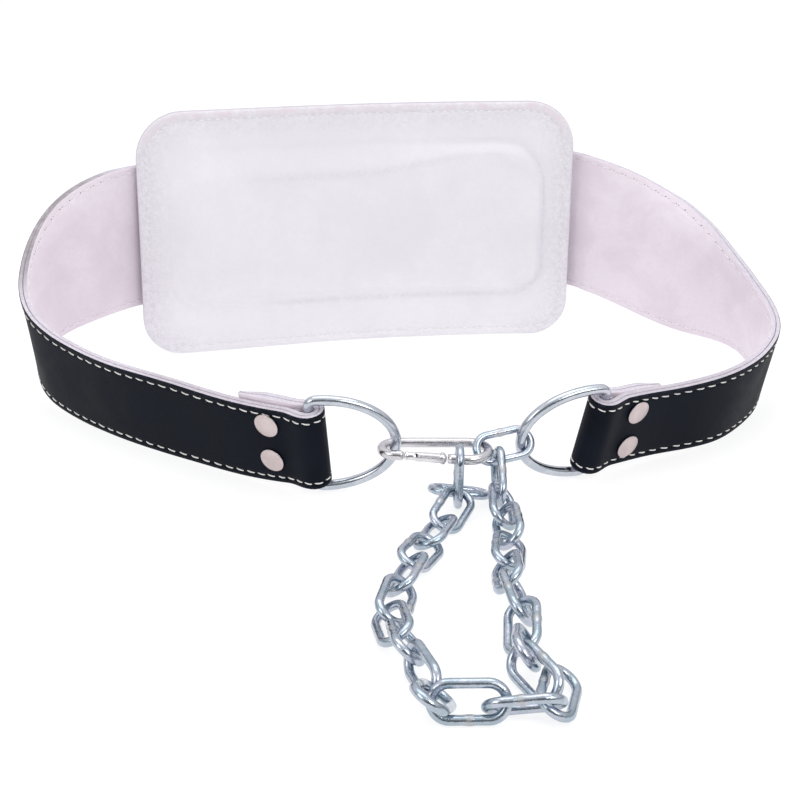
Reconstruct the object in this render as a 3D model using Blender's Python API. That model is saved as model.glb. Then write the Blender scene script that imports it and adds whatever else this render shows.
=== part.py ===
"""Leather dipping belt standing on its lower edges: back pad, two-layer strap, D-rings, rivets, snap hook and chain.

All sizes are in millimetres until the meshes are made. X runs to the right, Y away from the viewer and Z up,
with the floor at Z = 0. The chain lies on the floor in front of the strap's ends.
"""

import math

import bmesh
import bpy
import numpy as np

# ---------------------------------------------------------------- sizes, mm
GAP = 0.35  # between pieces that touch
LAYER = 3.0  # thickness of each leather layer of the strap
SPLIT = 0.3  # between the two layers
HALF = LAYER + SPLIT / 2  # from the strap's middle surface to either face
STRAP_W = 54.0  # width of the narrow ends
BACK_W = 110.0  # width behind the pad

PAD_W, PAD_H = 341.0, 192.0
PAD_CORNER = 34.0
PAD_FLANGE, PAD_MIDDLE = 7.6, 11.6  # thickness of the rim and of the filled middle
PAD_RIM = 30.0  # width of the flat rim round the filled middle
PAD_SHEAR = 4.7  # the lower left end reaches this much further out

RING_WIRE = 6.5
RING_HALF = 32.3  # from the ring's middle to its long sides, at the wire's centre
RING_BAR = 27.8  # half length of the straight bar
RING_DEPTH = 51.5  # from the bar to the far end of the bow
RING_RISE = {"left": 0.85, "right": 0.85}  # the ring sits this far up in its fold
TAIL_RISE = {"left": 3.0, "right": 0.0}  # the tail lies this much higher than the strap in front of it

CURL_AT = ((-0.5, 0.0), (0.3, 0.0), (0.42, 0.4), (0.5, 1.0))  # height in widths, and the share of the curl there
FOLD_R = RING_WIRE / 2 + GAP + HALF  # middle of the strap round the ring's bar
TAIL_LEN = 48.5
TAIL_SKIVE = 18.0  # length over which the tail gets thin
BULGE_LEN = 17.0  # length over which strap and tail spread round the bar

RIVET_D, RIVET_DOME = 16.4, 1.7
RIVET_BACK_D = 13.0
RIVET_SHANK_D = 5.0
RIVET_FROM_BAR = 26.2
RIVET_HEIGHTS = {"left": (16.4, -10.6), "right": (13.8, -13.3)}  # from the middle of the strap
END_SLANT = {"left": -0.045, "right": 0.0}  # the folded end isn't quite square

WIRE = 5.0  # chain
LINK_LEN, LINK_W = 40.0, 22.0  # outside

HOOK_WIRE = 6.2
HOOK_Z = 31.5
HOOK_BACK_Y = 755.0
HOOK_LEFT, HOOK_RIGHT = (-1.6, 9.5), (41.2, 13.0)  # X of each end's arc centre, and its radius
GATE_FREE_X, GATE_HINGE_X = 2.7, 25.8

# ---------------------------------------------------------------- tables, mm and degrees
# The strap from the left ring, round the back and to the right ring.
# lean: how far the top leans outwards. curl: how far the top edge bends outwards from that.
STRAP_ROWS = (
    # x, y, lowest z, width, lean, curl
    (-55.1, 742.8, 5.9, STRAP_W, 13, 0),
    (-88, 759, 2.2, 58, 15, 0),
    (-137.5, 790.5, 0.8, 60, 13, 0),
    (-187, 826, 0.2, 60.5, 12, 0),
    (-232, 867, 0.6, 63.5, 10.5, 0),
    (-256, 894, 3.8, 69.5, 9, 0),
    (-267, 921, 13, 79, 3, 1.5),
    (-264, 941, 26, 88, -3, 5),
    (-253, 956, 33, 98, -4, 7),
    (-238, 972, 36.5, 106, -4, 6),
    (-221, 992, 38.5, 110, -3, 4),
    (-203, 1009, 40, BACK_W, -2, 1),
    (-177, 1018.5, 41, BACK_W, 0, 0),
)
STRAP_ROWS_RIGHT = (
    (134, 1062.2, 41, BACK_W, -0.5, 0),
    (157, 1050, 38.5, 107.5, 3.5, 0),
    (185, 1032.5, 31.5, 105, 8, 4.5),
    (214, 1013.5, 22, 99, 5, 10),
    (235, 994, 18.5, 88, -3, 9),
    (252, 971, 17.5, 76, -9, 4),
    (264, 945, 12.5, 65.5, -4, 0),
    (266, 913, 4.2, 60.5, 6.5, 0),
    (256.5, 881, 0.6, 59.5, 11, 0),
    (239.5, 851.5, 0.2, 58, 13.5, 0),
    (220.5, 828, 0.4, 57, 14.5, 0),
    (196.5, 810, 1.3, 55.5, 16, 0),
    (168, 795, 2.8, STRAP_W, 17, 0),
    (145.5, 780, 4.6, STRAP_W, 16, 0),
    (124.3, 765.8, 5.6, STRAP_W, 16, 0),
)
# The line on which the pad's rim stands, seen from above: it bows away from the wearer.
PAD_LINE = (
    # x, y
    (-201, 996),
    (-171, 1002),
    (-140, 1009.5),
    (-75, 1026.5),
    (-10, 1039.5),
    (55, 1047),
    (110, 1050),
    (140, 1049),
)
# Chain links: middle, direction of the long axis, and the turn of the link's plane about that axis.
LINKS = (
    # name, x, y, z, axis, turn
    ("D", 35.5, 729, 20.4, (-0.02, -0.14, -0.99), 82),
    ("E", 36.5, 737, 6.8, (0.98, 0.16, -0.11), -10),
    ("F", 31, 708.5, 8.2, (-0.40, -0.90, -0.16), -27),
    ("G", 20.5, 684, 6.3, (-0.34, -0.94, 0), 27),
    ("H", 11.5, 658.5, 7.2, (-0.37, -0.92, 0.09), -27),
    ("I", 3.5, 632, 8.2, (-0.32, -0.95, -0.04), 36),
    ("J", -2, 604.5, 8.2, (-0.20, -0.98, -0.05), -37),
    ("K", -4, 581.5, 9.5, (0.11, -0.98, 0.17), 32),
    ("L", 2.5, 561, 11.7, (0.07, -0.99, 0.08), -40),
    ("M", 11, 534.5, 11.8, (0.41, -0.90, 0.12), 82),
    ("N", 14.5, 510.5, 12.2, (-0.12, -0.97, 0.19), -30),
    ("P", 31.5, 510.5, 10.7, (0.99, -0.14, 0), 76),
    ("Q", 56.5, 508.5, 10.7, (0.98, -0.10, 0.16), -46),
    ("R", 74, 522.5, 8, (0.25, 0.97, -0.03), 30),
    ("S", 63.5, 533.5, 10.5, (-0.47, 0.88, 0.09), -59),
    ("T", 61.5, 553, 12.8, (0.12, 0.95, -0.28), 53),
    ("U", 61.5, 577.5, 9.4, (0.07, 0.98, 0.21), -33),
    ("V", 61, 603.5, 10.7, (-0.17, 0.98, 0.14), 52),
    ("W", 58, 631, 10.4, (0.02, 0.99, -0.15), -48),
    ("X", 61, 659.5, 7.8, (0.12, 0.99, -0.03), 29),
    ("Y", 62.5, 686, 9.8, (-0.05, 0.99, 0.09), -50),
    ("Z", 61, 711, 10.4, (0.05, 0.99, 0.11), 43),
    ("B", 60, 731.5, 19.2, (0.05, -0.80, -0.59), 82),
    ("A", 64, 748, 32.5, (0.95, 0.30, 0.12), 53),
)

# ---------------------------------------------------------------- colours: name, RGB, roughness, metallic
FINISHES = {
    "suede_pad": ((0.74, 0.72, 0.76), 0.95, 0.0),
    "black_leather": ((0.017, 0.019, 0.026), 0.5, 0.0),
    "suede_lining": ((0.70, 0.63, 0.68), 0.95, 0.0),
    "ring_steel": ((0.62, 0.65, 0.69), 0.3, 1.0),
    "rivet_nickel": ((0.77, 0.71, 0.70), 0.38, 1.0),
    "hook_steel": ((0.66, 0.66, 0.69), 0.28, 1.0),
    "chain_zinc": ((0.56, 0.60, 0.66), 0.3, 1.0),
}


# ---------------------------------------------------------------- helpers
def unit(v):
    return np.asarray(v, float) / np.linalg.norm(v)


def smooth(t):
    t = np.clip(t, 0.0, 1.0)
    return t * t * (3 - 2 * t)


def natural_spline(knots, values, at):
    """Natural cubic spline through the rows of values."""
    k, y = np.asarray(knots, float), np.asarray(values, float)
    n = len(k)
    h = np.diff(k)
    a = np.zeros((n, n))
    b = np.zeros((n, y.shape[1]))
    a[0, 0] = a[-1, -1] = 1
    for i in range(1, n - 1):
        a[i, i - 1], a[i, i], a[i, i + 1] = h[i - 1], 2 * (h[i - 1] + h[i]), h[i]
        b[i] = 6 * ((y[i + 1] - y[i]) / h[i] - (y[i] - y[i - 1]) / h[i - 1])
    m = np.linalg.solve(a, b)
    i = np.clip(np.searchsorted(k, at) - 1, 0, n - 2)
    t0, t1, hi = (k[i + 1] - at)[:, None], (at - k[i])[:, None], h[i][:, None]
    return (
        m[i] * t0**3 / (6 * hi)
        + m[i + 1] * t1**3 / (6 * hi)
        + (y[i] / hi - m[i] * hi / 6) * t0
        + (y[i + 1] / hi - m[i + 1] * hi / 6) * t1
    )


def along(points):
    return np.concatenate(
        [[0], np.cumsum(np.linalg.norm(np.diff(points, axis=0), axis=1))]
    )


PARTS = []  # name, points, faces, finish, smooth shading, origin or None, cutters


def add(name, points, faces, finish, round_piece=True, origin=None, cutters=()):
    PARTS.append([name, np.asarray(points, float), faces, finish, round_piece, origin, list(cutters)])


def tube(path, radius, sides=8, closed=True, up=(0, 0, 1), turn=0.5):
    """Points and faces of a round bar along a path. radius is a number or one for each point."""
    path = np.asarray(path, float)
    n = len(path)
    rad = np.full(n, radius, float) if np.isscalar(radius) else np.asarray(radius, float)
    if closed:
        tan = np.roll(path, -1, axis=0) - np.roll(path, 1, axis=0)
    else:
        tan = np.gradient(path, axis=0)
    tan /= np.linalg.norm(tan, axis=1)[:, None]
    up = unit(up)
    points = []
    for i in range(n):
        side = unit(np.cross(up, tan[i]))
        top = np.cross(tan[i], side)
        for j in range(sides):
            a = 2 * math.pi * (j + turn) / sides
            points.append(path[i] + rad[i] * (math.cos(a) * side + math.sin(a) * top))
    faces = []
    for i in range(n if closed else n - 1):
        for j in range(sides):
            a, b = i * sides + j, i * sides + (j + 1) % sides
            c, d = ((i + 1) % n) * sides + (j + 1) % sides, ((i + 1) % n) * sides + j
            faces.append((a, b, c, d))
    if not closed:
        faces.append(tuple(reversed(range(sides))))
        faces.append(tuple((n - 1) * sides + j for j in range(sides)))
    return np.array(points), faces


def turned(profile, centre, axis, sides=24):
    """A solid of revolution. profile holds (radius, height) from the axis at the bottom to the axis at the top."""
    axis = unit(axis)
    a = unit(np.cross(axis, (0.3, 0.1, 1.0)))
    b = np.cross(axis, a)
    points, rings = [], []
    for r, h in profile:
        if r < 1e-6:
            rings.append([len(points)])
            points.append(centre + axis * h)
        else:
            rings.append([len(points) + j for j in range(sides)])
            for j in range(sides):
                t = 2 * math.pi * j / sides
                points.append(centre + axis * h + r * (math.cos(t) * a + math.sin(t) * b))
    faces = []
    for lo, hi in zip(rings[:-1], rings[1:]):
        for j in range(sides):
            k = (j + 1) % sides
            if len(lo) == 1:
                faces.append((lo[0], hi[k], hi[j]))
            elif len(hi) == 1:
                faces.append((lo[j], lo[k], hi[0]))
            else:
                faces.append((lo[j], lo[k], hi[k], hi[j]))
    return np.array(points), faces


# ---------------------------------------------------------------- pad line and strap path
def pad_curve(offset, step=4.0):
    """Points seen from above along the pad's rim, moved away from the wearer, with their outward normals."""
    p = np.array(PAD_LINE, float)
    k = along(p)
    s = np.linspace(0, k[-1], int(k[-1] / step) + 1)
    c = natural_spline(k, p, s)
    t = np.gradient(c, axis=0)
    t /= np.linalg.norm(t, axis=1)[:, None]
    n = np.stack([-t[:, 1], t[:, 0]], 1)
    return c + n * offset, n, s


def strap_frames():
    """The strap from ring to ring: middle point, outward normal, height direction, width, tangent and curl."""
    behind, _, s = pad_curve(PAD_FLANGE + GAP + 0.1 + HALF)
    mid = [
        (behind[i][0], behind[i][1], 41.0, BACK_W, 0, 0)
        for i in [int(len(s) * f) for f in (0.27, 0.42, 0.57, 0.72, 0.87)]
    ]
    rows = np.array(list(STRAP_ROWS) + mid + list(STRAP_ROWS_RIGHT), float)
    knots = along(rows[:, :2])
    n = 132
    at = np.linspace(0, knots[-1], n)
    r = natural_spline(knots, rows, at)
    width = np.interp(at, knots, rows[:, 3]) * 0.5 + r[:, 3] * 0.5
    xy = r[:, :2]
    # keep the strap clear of the pad's back
    pad, pn, _ = pad_curve(PAD_FLANGE, 2.0)
    for i in range(n):
        d = np.linalg.norm(pad - xy[i], axis=1)
        j = d.argmin()
        need = HALF + GAP + 0.25
        if 0 < j < len(pad) - 1:
            off = float(np.dot(xy[i] - pad[j], pn[j]))
            if -15 < off < need:
                xy[i] = xy[i] + pn[j] * (need - off)
        elif d[j] < need + 1.5:
            xy[i] = pad[j] + (xy[i] - pad[j]) / d[j] * (need + 1.5)
    t = np.gradient(xy, axis=0)
    t /= np.linalg.norm(t, axis=1)[:, None]
    out = np.stack([-t[:, 1], t[:, 0], np.zeros(n)], 1)
    lean = np.radians(r[:, 4])
    up = np.array([0.0, 0.0, 1.0])
    high = out * np.sin(lean)[:, None] + up * np.cos(lean)[:, None]
    face = out * np.cos(lean)[:, None] - up * np.sin(lean)[:, None]
    z = np.maximum(r[:, 2], 0.05) + width / 2 * np.cos(lean) + HALF * np.abs(np.sin(lean))
    mid = np.column_stack([xy, z])
    tan = np.column_stack([t, np.zeros(n)])
    s = along(mid)
    for end, d in (("left", s), ("right", s[-1] - s)):
        high = high + tan * (END_SLANT[end] * (1 - smooth(d / 90)))[:, None]
    high /= np.linalg.norm(high, axis=1)[:, None]
    return mid, face, high, width, tan, np.maximum(np.interp(at, knots, rows[:, 5]), 0)


def fold(mid, face, high, width, tan, curl, sign):
    """The end of the strap round a ring's bar. sign is -1 for the first end and 1 for the last.

    Returns the bar's middle, the strap's frames with the ends spread, and the frames of the fold and tail.
    """
    n = len(mid)
    order = range(n) if sign < 0 else range(n - 1, -1, -1)
    q = 0.0
    prev = None
    dist = {}
    for i in order:
        if prev is not None:
            q += np.linalg.norm(mid[i] - mid[prev])
        dist[i] = q
        prev = i
        if q > TAIL_LEN + 20:
            break
    spread = {i: (FOLD_R - HALF - GAP / 2) * (1 - smooth(d / BULGE_LEN)) for i, d in dist.items()}
    end = 0 if sign < 0 else n - 1
    beyond = tan[end] * sign
    tail = []
    for i, d in dist.items():
        if d > TAIL_LEN:
            continue
        off = 2 * HALF + GAP + spread[i]
        k = 1 - 0.62 * smooth((d - (TAIL_LEN - TAIL_SKIVE)) / TAIL_SKIVE)
        lift = TAIL_RISE["left" if sign < 0 else "right"] * float(smooth(d / 22))
        tail.append((mid[i] - face[i] * off + high[i] * lift, -face[i], high[i], width[i], k, 0.0))
    new_mid = mid.copy()
    for i, b in spread.items():
        new_mid[i] = mid[i] + face[i] * b
    bar = new_mid[end] - face[end] * FOLD_R
    arc = []
    for j in range(1, 10):
        a = math.pi * j / 10
        d = math.cos(a) * face[end] + math.sin(a) * beyond
        arc.append((bar + d * FOLD_R, d, high[end], width[end], 1.0, 0.0))
    return bar, new_mid, arc + tail


def refine(mid, face, high, width, tan, curl):
    """Finer rows near the two folds."""
    s = along(mid)
    ends = np.concatenate([np.arange(0, 60, 4.0), np.linspace(60, s[-1] - 60, 92), s[-1] - np.arange(0, 60, 4.0)[::-1]])
    pick = lambda a: np.stack([np.interp(ends, s, a[:, k]) for k in range(a.shape[1])], 1)
    norm = lambda a: a / np.linalg.norm(a, axis=1)[:, None]
    even = lambda a: np.interp(ends, s, a)
    return pick(mid), norm(pick(face)), norm(pick(high)), even(width), norm(pick(tan)), even(curl)


mid, face, high, width, tan, curl = refine(*strap_frames())
left_bar, mid_a, left_fold = fold(mid, face, high, width, tan, curl, -1)
right_bar, mid_b, right_fold = fold(mid_a, face, high, width, tan, curl, 1)
main = [(mid_b[i], face[i], high[i], width[i], 1.0, curl[i]) for i in range(len(mid))]
ribbon = list(reversed(left_fold)) + main + right_fold


def layer(lo_hi):
    """One leather layer as a closed strip. lo_hi gives the offsets of its two faces from the strap's middle."""
    points, faces = [], []
    c = len(CURL_AT)
    q = 2 * c
    for p, n, h, w, k, curl in ribbon:
        lo, hi = lo_hi(k)
        for j in list(range(c)) + list(range(c - 1, -1, -1)):
            off = hi if len(points) % q < c else lo
            side, share = CURL_AT[j]
            points.append(p + n * (off + curl * share) + h * (w * side))
    m = len(ribbon)
    for i in range(m - 1):
        for j in range(q):
            a, b = i * q + j, i * q + (j + 1) % q
            if j in (c - 1, q - 1):
                faces.append((a, b, b + q, a + q))
            elif j < c:  # both wide sides are cut along the same diagonal
                faces.extend([(a, b, b + q), (a, b + q, a + q)])
            else:
                faces.extend([(a, b, a + q), (b, b + q, a + q)])
    faces.append(tuple(reversed(range(q))))
    e = (m - 1) * q
    faces.append(tuple(range(e, e + q)))
    return np.array(points), faces


# ---------------------------------------------------------------- rivets
def rivet_places():
    out = []
    for name, order in (("left", 1), ("right", -1)):
        idx = list(range(len(mid)))[::order]
        s = along(mid[idx])
        at = lambda a: np.array([np.interp(RIVET_FROM_BAR, s, a[idx][:, k]) for k in range(3)])
        p, n, h = at(mid), unit(at(face)), unit(at(high))
        for level, z in zip(("upper", "lower"), RIVET_HEIGHTS[name]):
            out.append((f"rivet_{name}_{level}", p + h * z, n))
    return out


RIVETS = rivet_places()
HOLES = []
for name, p, n in RIVETS:
    r, dome = RIVET_D / 2, RIVET_DOME
    front = HALF + GAP + 0.35
    back = -(3 * HALF + 2 * GAP) + 0.2
    profile = [
        (0, back - 1.3),
        (RIVET_BACK_D / 2 - 0.8, back - 1.2),
        (RIVET_BACK_D / 2, back - 0.75),
        (RIVET_BACK_D / 2, back - 0.35),
        (RIVET_SHANK_D / 2, back - 0.35),
        (RIVET_SHANK_D / 2, front),
        (r - 0.15, front),
        (r, front + 0.35),
        (r * 0.93, front + 0.35 + dome * 0.42),
        (r * 0.75, front + 0.35 + dome * 0.74),
        (r * 0.42, front + 0.35 + dome * 0.94),
        (0, front + 0.35 + dome),
    ]
    add(name, *turned(profile, p, n, 16), "rivet_nickel")
    hole = [(0, -16), (RIVET_SHANK_D / 2 + GAP, -16), (RIVET_SHANK_D / 2 + GAP, 8), (0, 8)]
    HOLES.append((name + "_hole", *turned(hole, p, n, 12)))

add("strap_outer", *layer(lambda k: (-HALF + LAYER * k + SPLIT, -HALF + 2 * LAYER * k + SPLIT)), "black_leather", False, None, [h[0] for h in HOLES])
add("strap_lining", *layer(lambda k: (-HALF, -HALF + LAYER * k)), "suede_lining", False, None, [h[0] for h in HOLES])


# ---------------------------------------------------------------- D-rings
def d_path(bar, high_dir, out_dir, rise, corner=5.0, straight=6.0, arc_n=16):
    h = unit(high_dir)
    d = unit(np.asarray(out_dir, float) - np.dot(out_dir, h) * h)
    c = bar + h * rise
    flat = [(0, -RING_BAR), (0, 0), (0, RING_BAR)]
    r0 = RING_HALF - RING_BAR
    for j in range(1, 4):
        a = math.pi / 2 * j / 3
        flat.append((corner * (1 - math.cos(a)), RING_BAR + r0 * math.sin(a)))
    for j in range(arc_n + 1):
        a = math.pi / 2 - math.pi * j / arc_n
        flat.append((straight + (RING_DEPTH - straight) * math.cos(a), RING_HALF * math.sin(a)))
    for j in range(0, 3):
        a = math.pi / 2 * (3 - j) / 3
        flat.append((corner * (1 - math.cos(a)), -(RING_BAR + r0 * math.sin(a))))
    return np.array([c + d * x + h * y for x, y in flat]), np.cross(h, d)


left_ring, left_up = d_path(left_bar, high[0], (1, 0.01, 0.0), RING_RISE["left"])
right_ring, right_up = d_path(right_bar, high[-1], (-1, -0.36, 0.0), RING_RISE["right"])
add("d_ring_left", *tube(left_ring, RING_WIRE / 2, 8, True, left_up, 0.0), "ring_steel")
add("d_ring_right", *tube(right_ring, RING_WIRE / 2, 8, True, right_up, 0.0), "ring_steel")


# ---------------------------------------------------------------- snap hook
def hook_line():
    """The hook's outline at the middle of its wire, from the nose round to the hinge, seen from above."""
    (xl, rl), (xr, rr) = HOOK_LEFT, HOOK_RIGHT
    yl, yr = HOOK_BACK_Y - rl, HOOK_BACK_Y - rr
    slope = math.asin((yl - rl - (yr - rr)) / (xr - xl))
    pts = []
    # nose: on the front bar near the left arc
    front_l = (xl - rl * math.sin(slope), yl - rl * math.cos(slope))
    front_r = (xr - rr * math.sin(slope), yr - rr * math.cos(slope))
    along_front = lambda x: front_l[1] + (front_r[1] - front_l[1]) * (x - front_l[0]) / (front_r[0] - front_l[0])
    pts.append((GATE_FREE_X - 0.6, along_front(GATE_FREE_X - 0.6)))
    pts.append((GATE_FREE_X - 2.6, along_front(GATE_FREE_X - 2.6)))
    for j in range(9):
        a = -math.pi / 2 - slope - (math.pi - slope) * j / 8
        pts.append((xl + rl * math.cos(a), yl + rl * math.sin(a)))
    pts.append(((xl + xr) / 2, HOOK_BACK_Y))
    for j in range(11):
        a = math.pi / 2 - (math.pi + slope) * j / 10
        pts.append((xr + rr * math.cos(a), yr + rr * math.sin(a)))
    pts.append((GATE_HINGE_X + 3.3, along_front(GATE_HINGE_X + 3.3)))
    return pts, along_front


HOOK_PTS, FRONT_Y = hook_line()
add(
    "snap_hook_body",
    *tube([(x, y, HOOK_Z) for x, y in HOOK_PTS], HOOK_WIRE / 2, 10, False, (0, 0, 1), 0.0),
    "hook_steel",
)
hinge = np.array([GATE_HINGE_X, FRONT_Y(GATE_HINGE_X), HOOK_Z])
free = np.array([GATE_FREE_X, FRONT_Y(GATE_FREE_X), HOOK_Z])
gate_dir = unit(hinge - free)
gate_pts = [free, free + gate_dir * 1.2, (free + hinge) / 2, hinge - gate_dir * 1.0, hinge + gate_dir * 2.0]
add(
    "snap_hook_gate",
    *tube(gate_pts, [2.8, 3.05, 3.05, 3.05, 2.5], 10, False, (0, 0, 1), 0.0),
    "hook_steel",
    origin=hinge,
)


# ---------------------------------------------------------------- chain
def link_flat(arc=5):
    """A link's outline at the middle of its wire, long axis along the first coordinate."""
    r = (LINK_W - WIRE) / 2
    half = (LINK_LEN - WIRE) / 2 - r
    pts = []
    for j in range(arc + 1):
        a = -math.pi / 2 + math.pi * j / arc
        pts.append((half + r * math.cos(a), r * math.sin(a)))
    for j in range(arc + 1):
        a = math.pi / 2 + math.pi * j / arc
        pts.append((-half + r * math.cos(a), r * math.sin(a)))
    return np.array(pts)


def link_axes(axis, turn):
    """The link's long axis, its width direction and the normal of its plane."""
    a = unit(axis)
    flat = unit(np.cross((0, 0, 1.0), a))
    up = np.cross(a, flat)
    t = math.radians(turn)
    w = flat * math.cos(t) + up * math.sin(t)
    return np.array([a, w, np.cross(a, w)])


def closed_points(path, step):
    path = np.vstack([path, path[:1]])
    s = along(path)
    at = np.arange(0, s[-1], step)
    return np.stack([np.interp(at, s, path[:, k]) for k in range(3)], 1)


HUNG = ("A", "B", "D")  # links held by the hook and the right ring


def settle(rounds=420):
    """Moves the links apart until no two wires are nearer than the gap, with the chain on the floor."""
    flat = link_flat(8)
    base = closed_points(np.column_stack([flat, np.zeros(len(flat))]), 2.2)
    pos = np.array([r[1:4] for r in LINKS], float)
    rot = np.array([link_axes(r[4], r[5]) for r in LINKS])
    home = pos.copy()
    hung = [r[0] in HUNG for r in LINKS]
    hook = [(x, y, HOOK_Z) for x, y in HOOK_PTS] + [tuple(hinge), tuple(free)]
    fixed = [
        (closed_points(np.array(hook), 2.0), (WIRE + HOOK_WIRE) / 2),
        (closed_points(left_ring, 2.0), (WIRE + RING_WIRE) / 2),
        (closed_points(right_ring, 2.0), (WIRE + RING_WIRE) / 2),
    ]
    need = WIRE + GAP + 0.22
    inertia = float((base**2).sum(1).mean())
    for step in range(rounds):
        late = step > rounds * 0.7
        pts = base @ rot + pos[:, None]
        move = np.zeros_like(pos)
        spin = np.zeros_like(pos)
        count = np.zeros(len(pos))

        def push(i, where, by):
            move[i] += by
            spin[i] += np.cross(where - pos[i], by) / inertia
            count[i] += 1

        for i in range(len(pos)):
            for j in range(i + 1, len(pos)):
                if np.linalg.norm(pos[i] - pos[j]) > LINK_LEN + 3:
                    continue
                d = pts[i][:, None] - pts[j][None]
                r = np.linalg.norm(d, axis=2)
                a, b = np.unravel_index(r.argmin(), r.shape)
                if r[a, b] < need:
                    by = d[a, b] / r[a, b] * (need - r[a, b]) * 0.5
                    push(i, pts[i][a], by)
                    push(j, pts[j][b], -by)
            for line, reach in fixed:
                d = pts[i][:, None] - line[None]
                r = np.linalg.norm(d, axis=2)
                a, b = np.unravel_index(r.argmin(), r.shape)
                lim = reach + GAP + 0.22
                if r[a, b] < lim:
                    push(i, pts[i][a], d[a, b] / r[a, b] * (lim - r[a, b]))
            low = pts[i][:, 2].argmin()
            under = WIRE / 2 + 0.05 - pts[i][low, 2]
            if under > 0:
                push(i, pts[i][low], np.array([0, 0, under]))
            elif not late and not hung[i]:
                push(i, pts[i][low], np.array([0, 0, max(-0.06, under * 0.2)]))
                count[i] -= 1
        c = np.maximum(count, 1)[:, None]
        pos += move / np.sqrt(c)
        if not late:
            pos += (home - pos) * np.array([0.02, 0.02, 0.0])
        for i in range(len(pos)):
            v = spin[i] / math.sqrt(max(count[i], 1))
            ang = np.linalg.norm(v)
            if ang > 1e-9:
                k = v / ang
                m = np.array([[0, -k[2], k[1]], [k[2], 0, -k[0]], [-k[1], k[0], 0]])
                turn = np.eye(3) + math.sin(ang) * m + (1 - math.cos(ang)) * m @ m
                rot[i] = rot[i] @ turn.T
                rot[i][0] = unit(rot[i][0])
                rot[i][1] = unit(rot[i][1] - np.dot(rot[i][1], rot[i][0]) * rot[i][0])
                rot[i][2] = np.cross(rot[i][0], rot[i][1])
    return pos, rot


LINK_POS, LINK_ROT = settle()
LINK_NAMES = [f"chain_link_{i + 1:02d}" for i in range(len(LINKS))]
for i, name in enumerate(LINK_NAMES):
    flat = link_flat(5)
    path = np.column_stack([flat, np.zeros(len(flat))]) @ LINK_ROT[i] + LINK_POS[i]
    add(name, *tube(path, WIRE / 2, 8, True, LINK_ROT[i][2], 0.5), "chain_zinc")


# ---------------------------------------------------------------- back pad
def rounded(w, h, r, n_corner=5, n_long=10, n_short=4):
    """A rounded rectangle about the origin, anticlockwise, with points along its straight sides."""
    r = min(r, w / 2 - 0.5, h / 2 - 0.5)
    a, b = w / 2 - r, h / 2 - r
    pts = []
    for cx, cy, start, n_side, side in (
        (a, -b, -90, n_short, (0, 1)),
        (a, b, 0, n_long, (-1, 0)),
        (-a, b, 90, n_short, (0, -1)),
        (-a, -b, 180, n_long, (1, 0)),
    ):
        for j in range(n_corner + 1):
            t = math.radians(start + 90 * j / n_corner)
            pts.append((cx + r * math.cos(t), cy + r * math.sin(t)))
        last = pts[-1]
        length = 2 * (b if side[1] else a)
        for j in range(1, n_side):
            pts.append((last[0] + side[0] * length * j / n_side, last[1] + side[1] * length * j / n_side))
    return np.array(pts)


def pad():
    curve, normal, s = pad_curve(0.0, 2.0)
    half = s[-1] / 2

    def place(u, z, off):
        u = u - PAD_SHEAR * float(smooth((-u - 40) / 130)) * (1 - z / PAD_H)
        c = min(max(u, -half), half)
        x, y = np.interp(c + half, s, curve[:, 0]), np.interp(c + half, s, curve[:, 1])
        n = unit([np.interp(c + half, s, normal[:, 0]), np.interp(c + half, s, normal[:, 1])])
        return (x + n[1] * (u - c) + n[0] * off, y - n[0] * (u - c) + n[1] * off, z)

    width = min(PAD_W, s[-1] - 0.5)
    swell = PAD_MIDDLE - PAD_FLANGE
    rings = [  # inset, front offset, back offset
        (0.0, 2.2, PAD_FLANGE - 2.2),
        (1.4, 0.5, PAD_FLANGE - 0.5),
        (4.0, 0.0, PAD_FLANGE),
        (PAD_RIM - 8, 0.0, PAD_FLANGE),
        (PAD_RIM, -swell * 0.35, PAD_FLANGE),
        (PAD_RIM + 9, -swell * 0.92, PAD_FLANGE),
        (PAD_RIM + 28, -swell, PAD_FLANGE),
        (PAD_RIM + 50, -swell, PAD_FLANGE),
    ]
    points, fronts, backs = [], [], []
    for inset, front, back in rings:
        o = rounded(width - 2 * inset, PAD_H - 2 * inset, max(PAD_CORNER - inset, 5))
        if inset > PAD_RIM - 9:
            o = rounded(width - 2 * inset, PAD_H - 2 * inset, 20 if inset < PAD_RIM + 20 else 6)
        for store, off in ((fronts, front), (backs, back)):
            store.append(range(len(points), len(points) + len(o)))
            points.extend(place(u, v + PAD_H / 2 + 0.02, off) for u, v in o)
    faces = []
    n = len(fronts[0])
    for rows, flip in ((fronts, False), (backs, True)):
        for lo, hi in zip(rows[:-1], rows[1:]):
            for j in range(n):
                k = (j + 1) % n
                f = (lo[j], lo[k], hi[k], hi[j])
                faces.append(tuple(reversed(f)) if flip else f)
        # the middle is closed with strips between the two long sides
        last = list(rows[-1])
        faces.extend(strip(last, flip, points))
    for j in range(n):
        k = (j + 1) % n
        faces.append((fronts[0][k], fronts[0][j], backs[0][j], backs[0][k]))
    return np.array(points), faces


def strip(loop, flip, points):
    """Quads across a narrow rounded loop, from its lowest-left corner to the right."""
    n = len(loop)
    left = min(range(n), key=lambda i: points[loop[i]][0])
    a, b = left, left
    out = []
    # walk both ways from the left end until the two walks meet
    lower, upper = [left], [left]
    for step in range(1, n // 2 + 1):
        lower.append((left + step) % n)
        upper.append((left - step) % n)
    for i in range(len(lower) - 1):
        quad = [lower[i], lower[i + 1], upper[i + 1], upper[i]]
        ids = []
        for q in quad:
            if loop[q] not in ids:
                ids.append(loop[q])
        if len(ids) > 2:
            out.append(tuple(reversed(ids)) if flip else tuple(ids))
    return out


add("back_pad", *pad(), "suede_pad")


# ---------------------------------------------------------------- objects
def clean(name):
    for collection in (bpy.data.objects,):
        for o in list(collection):
            collection.remove(o, do_unlink=True)


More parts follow.
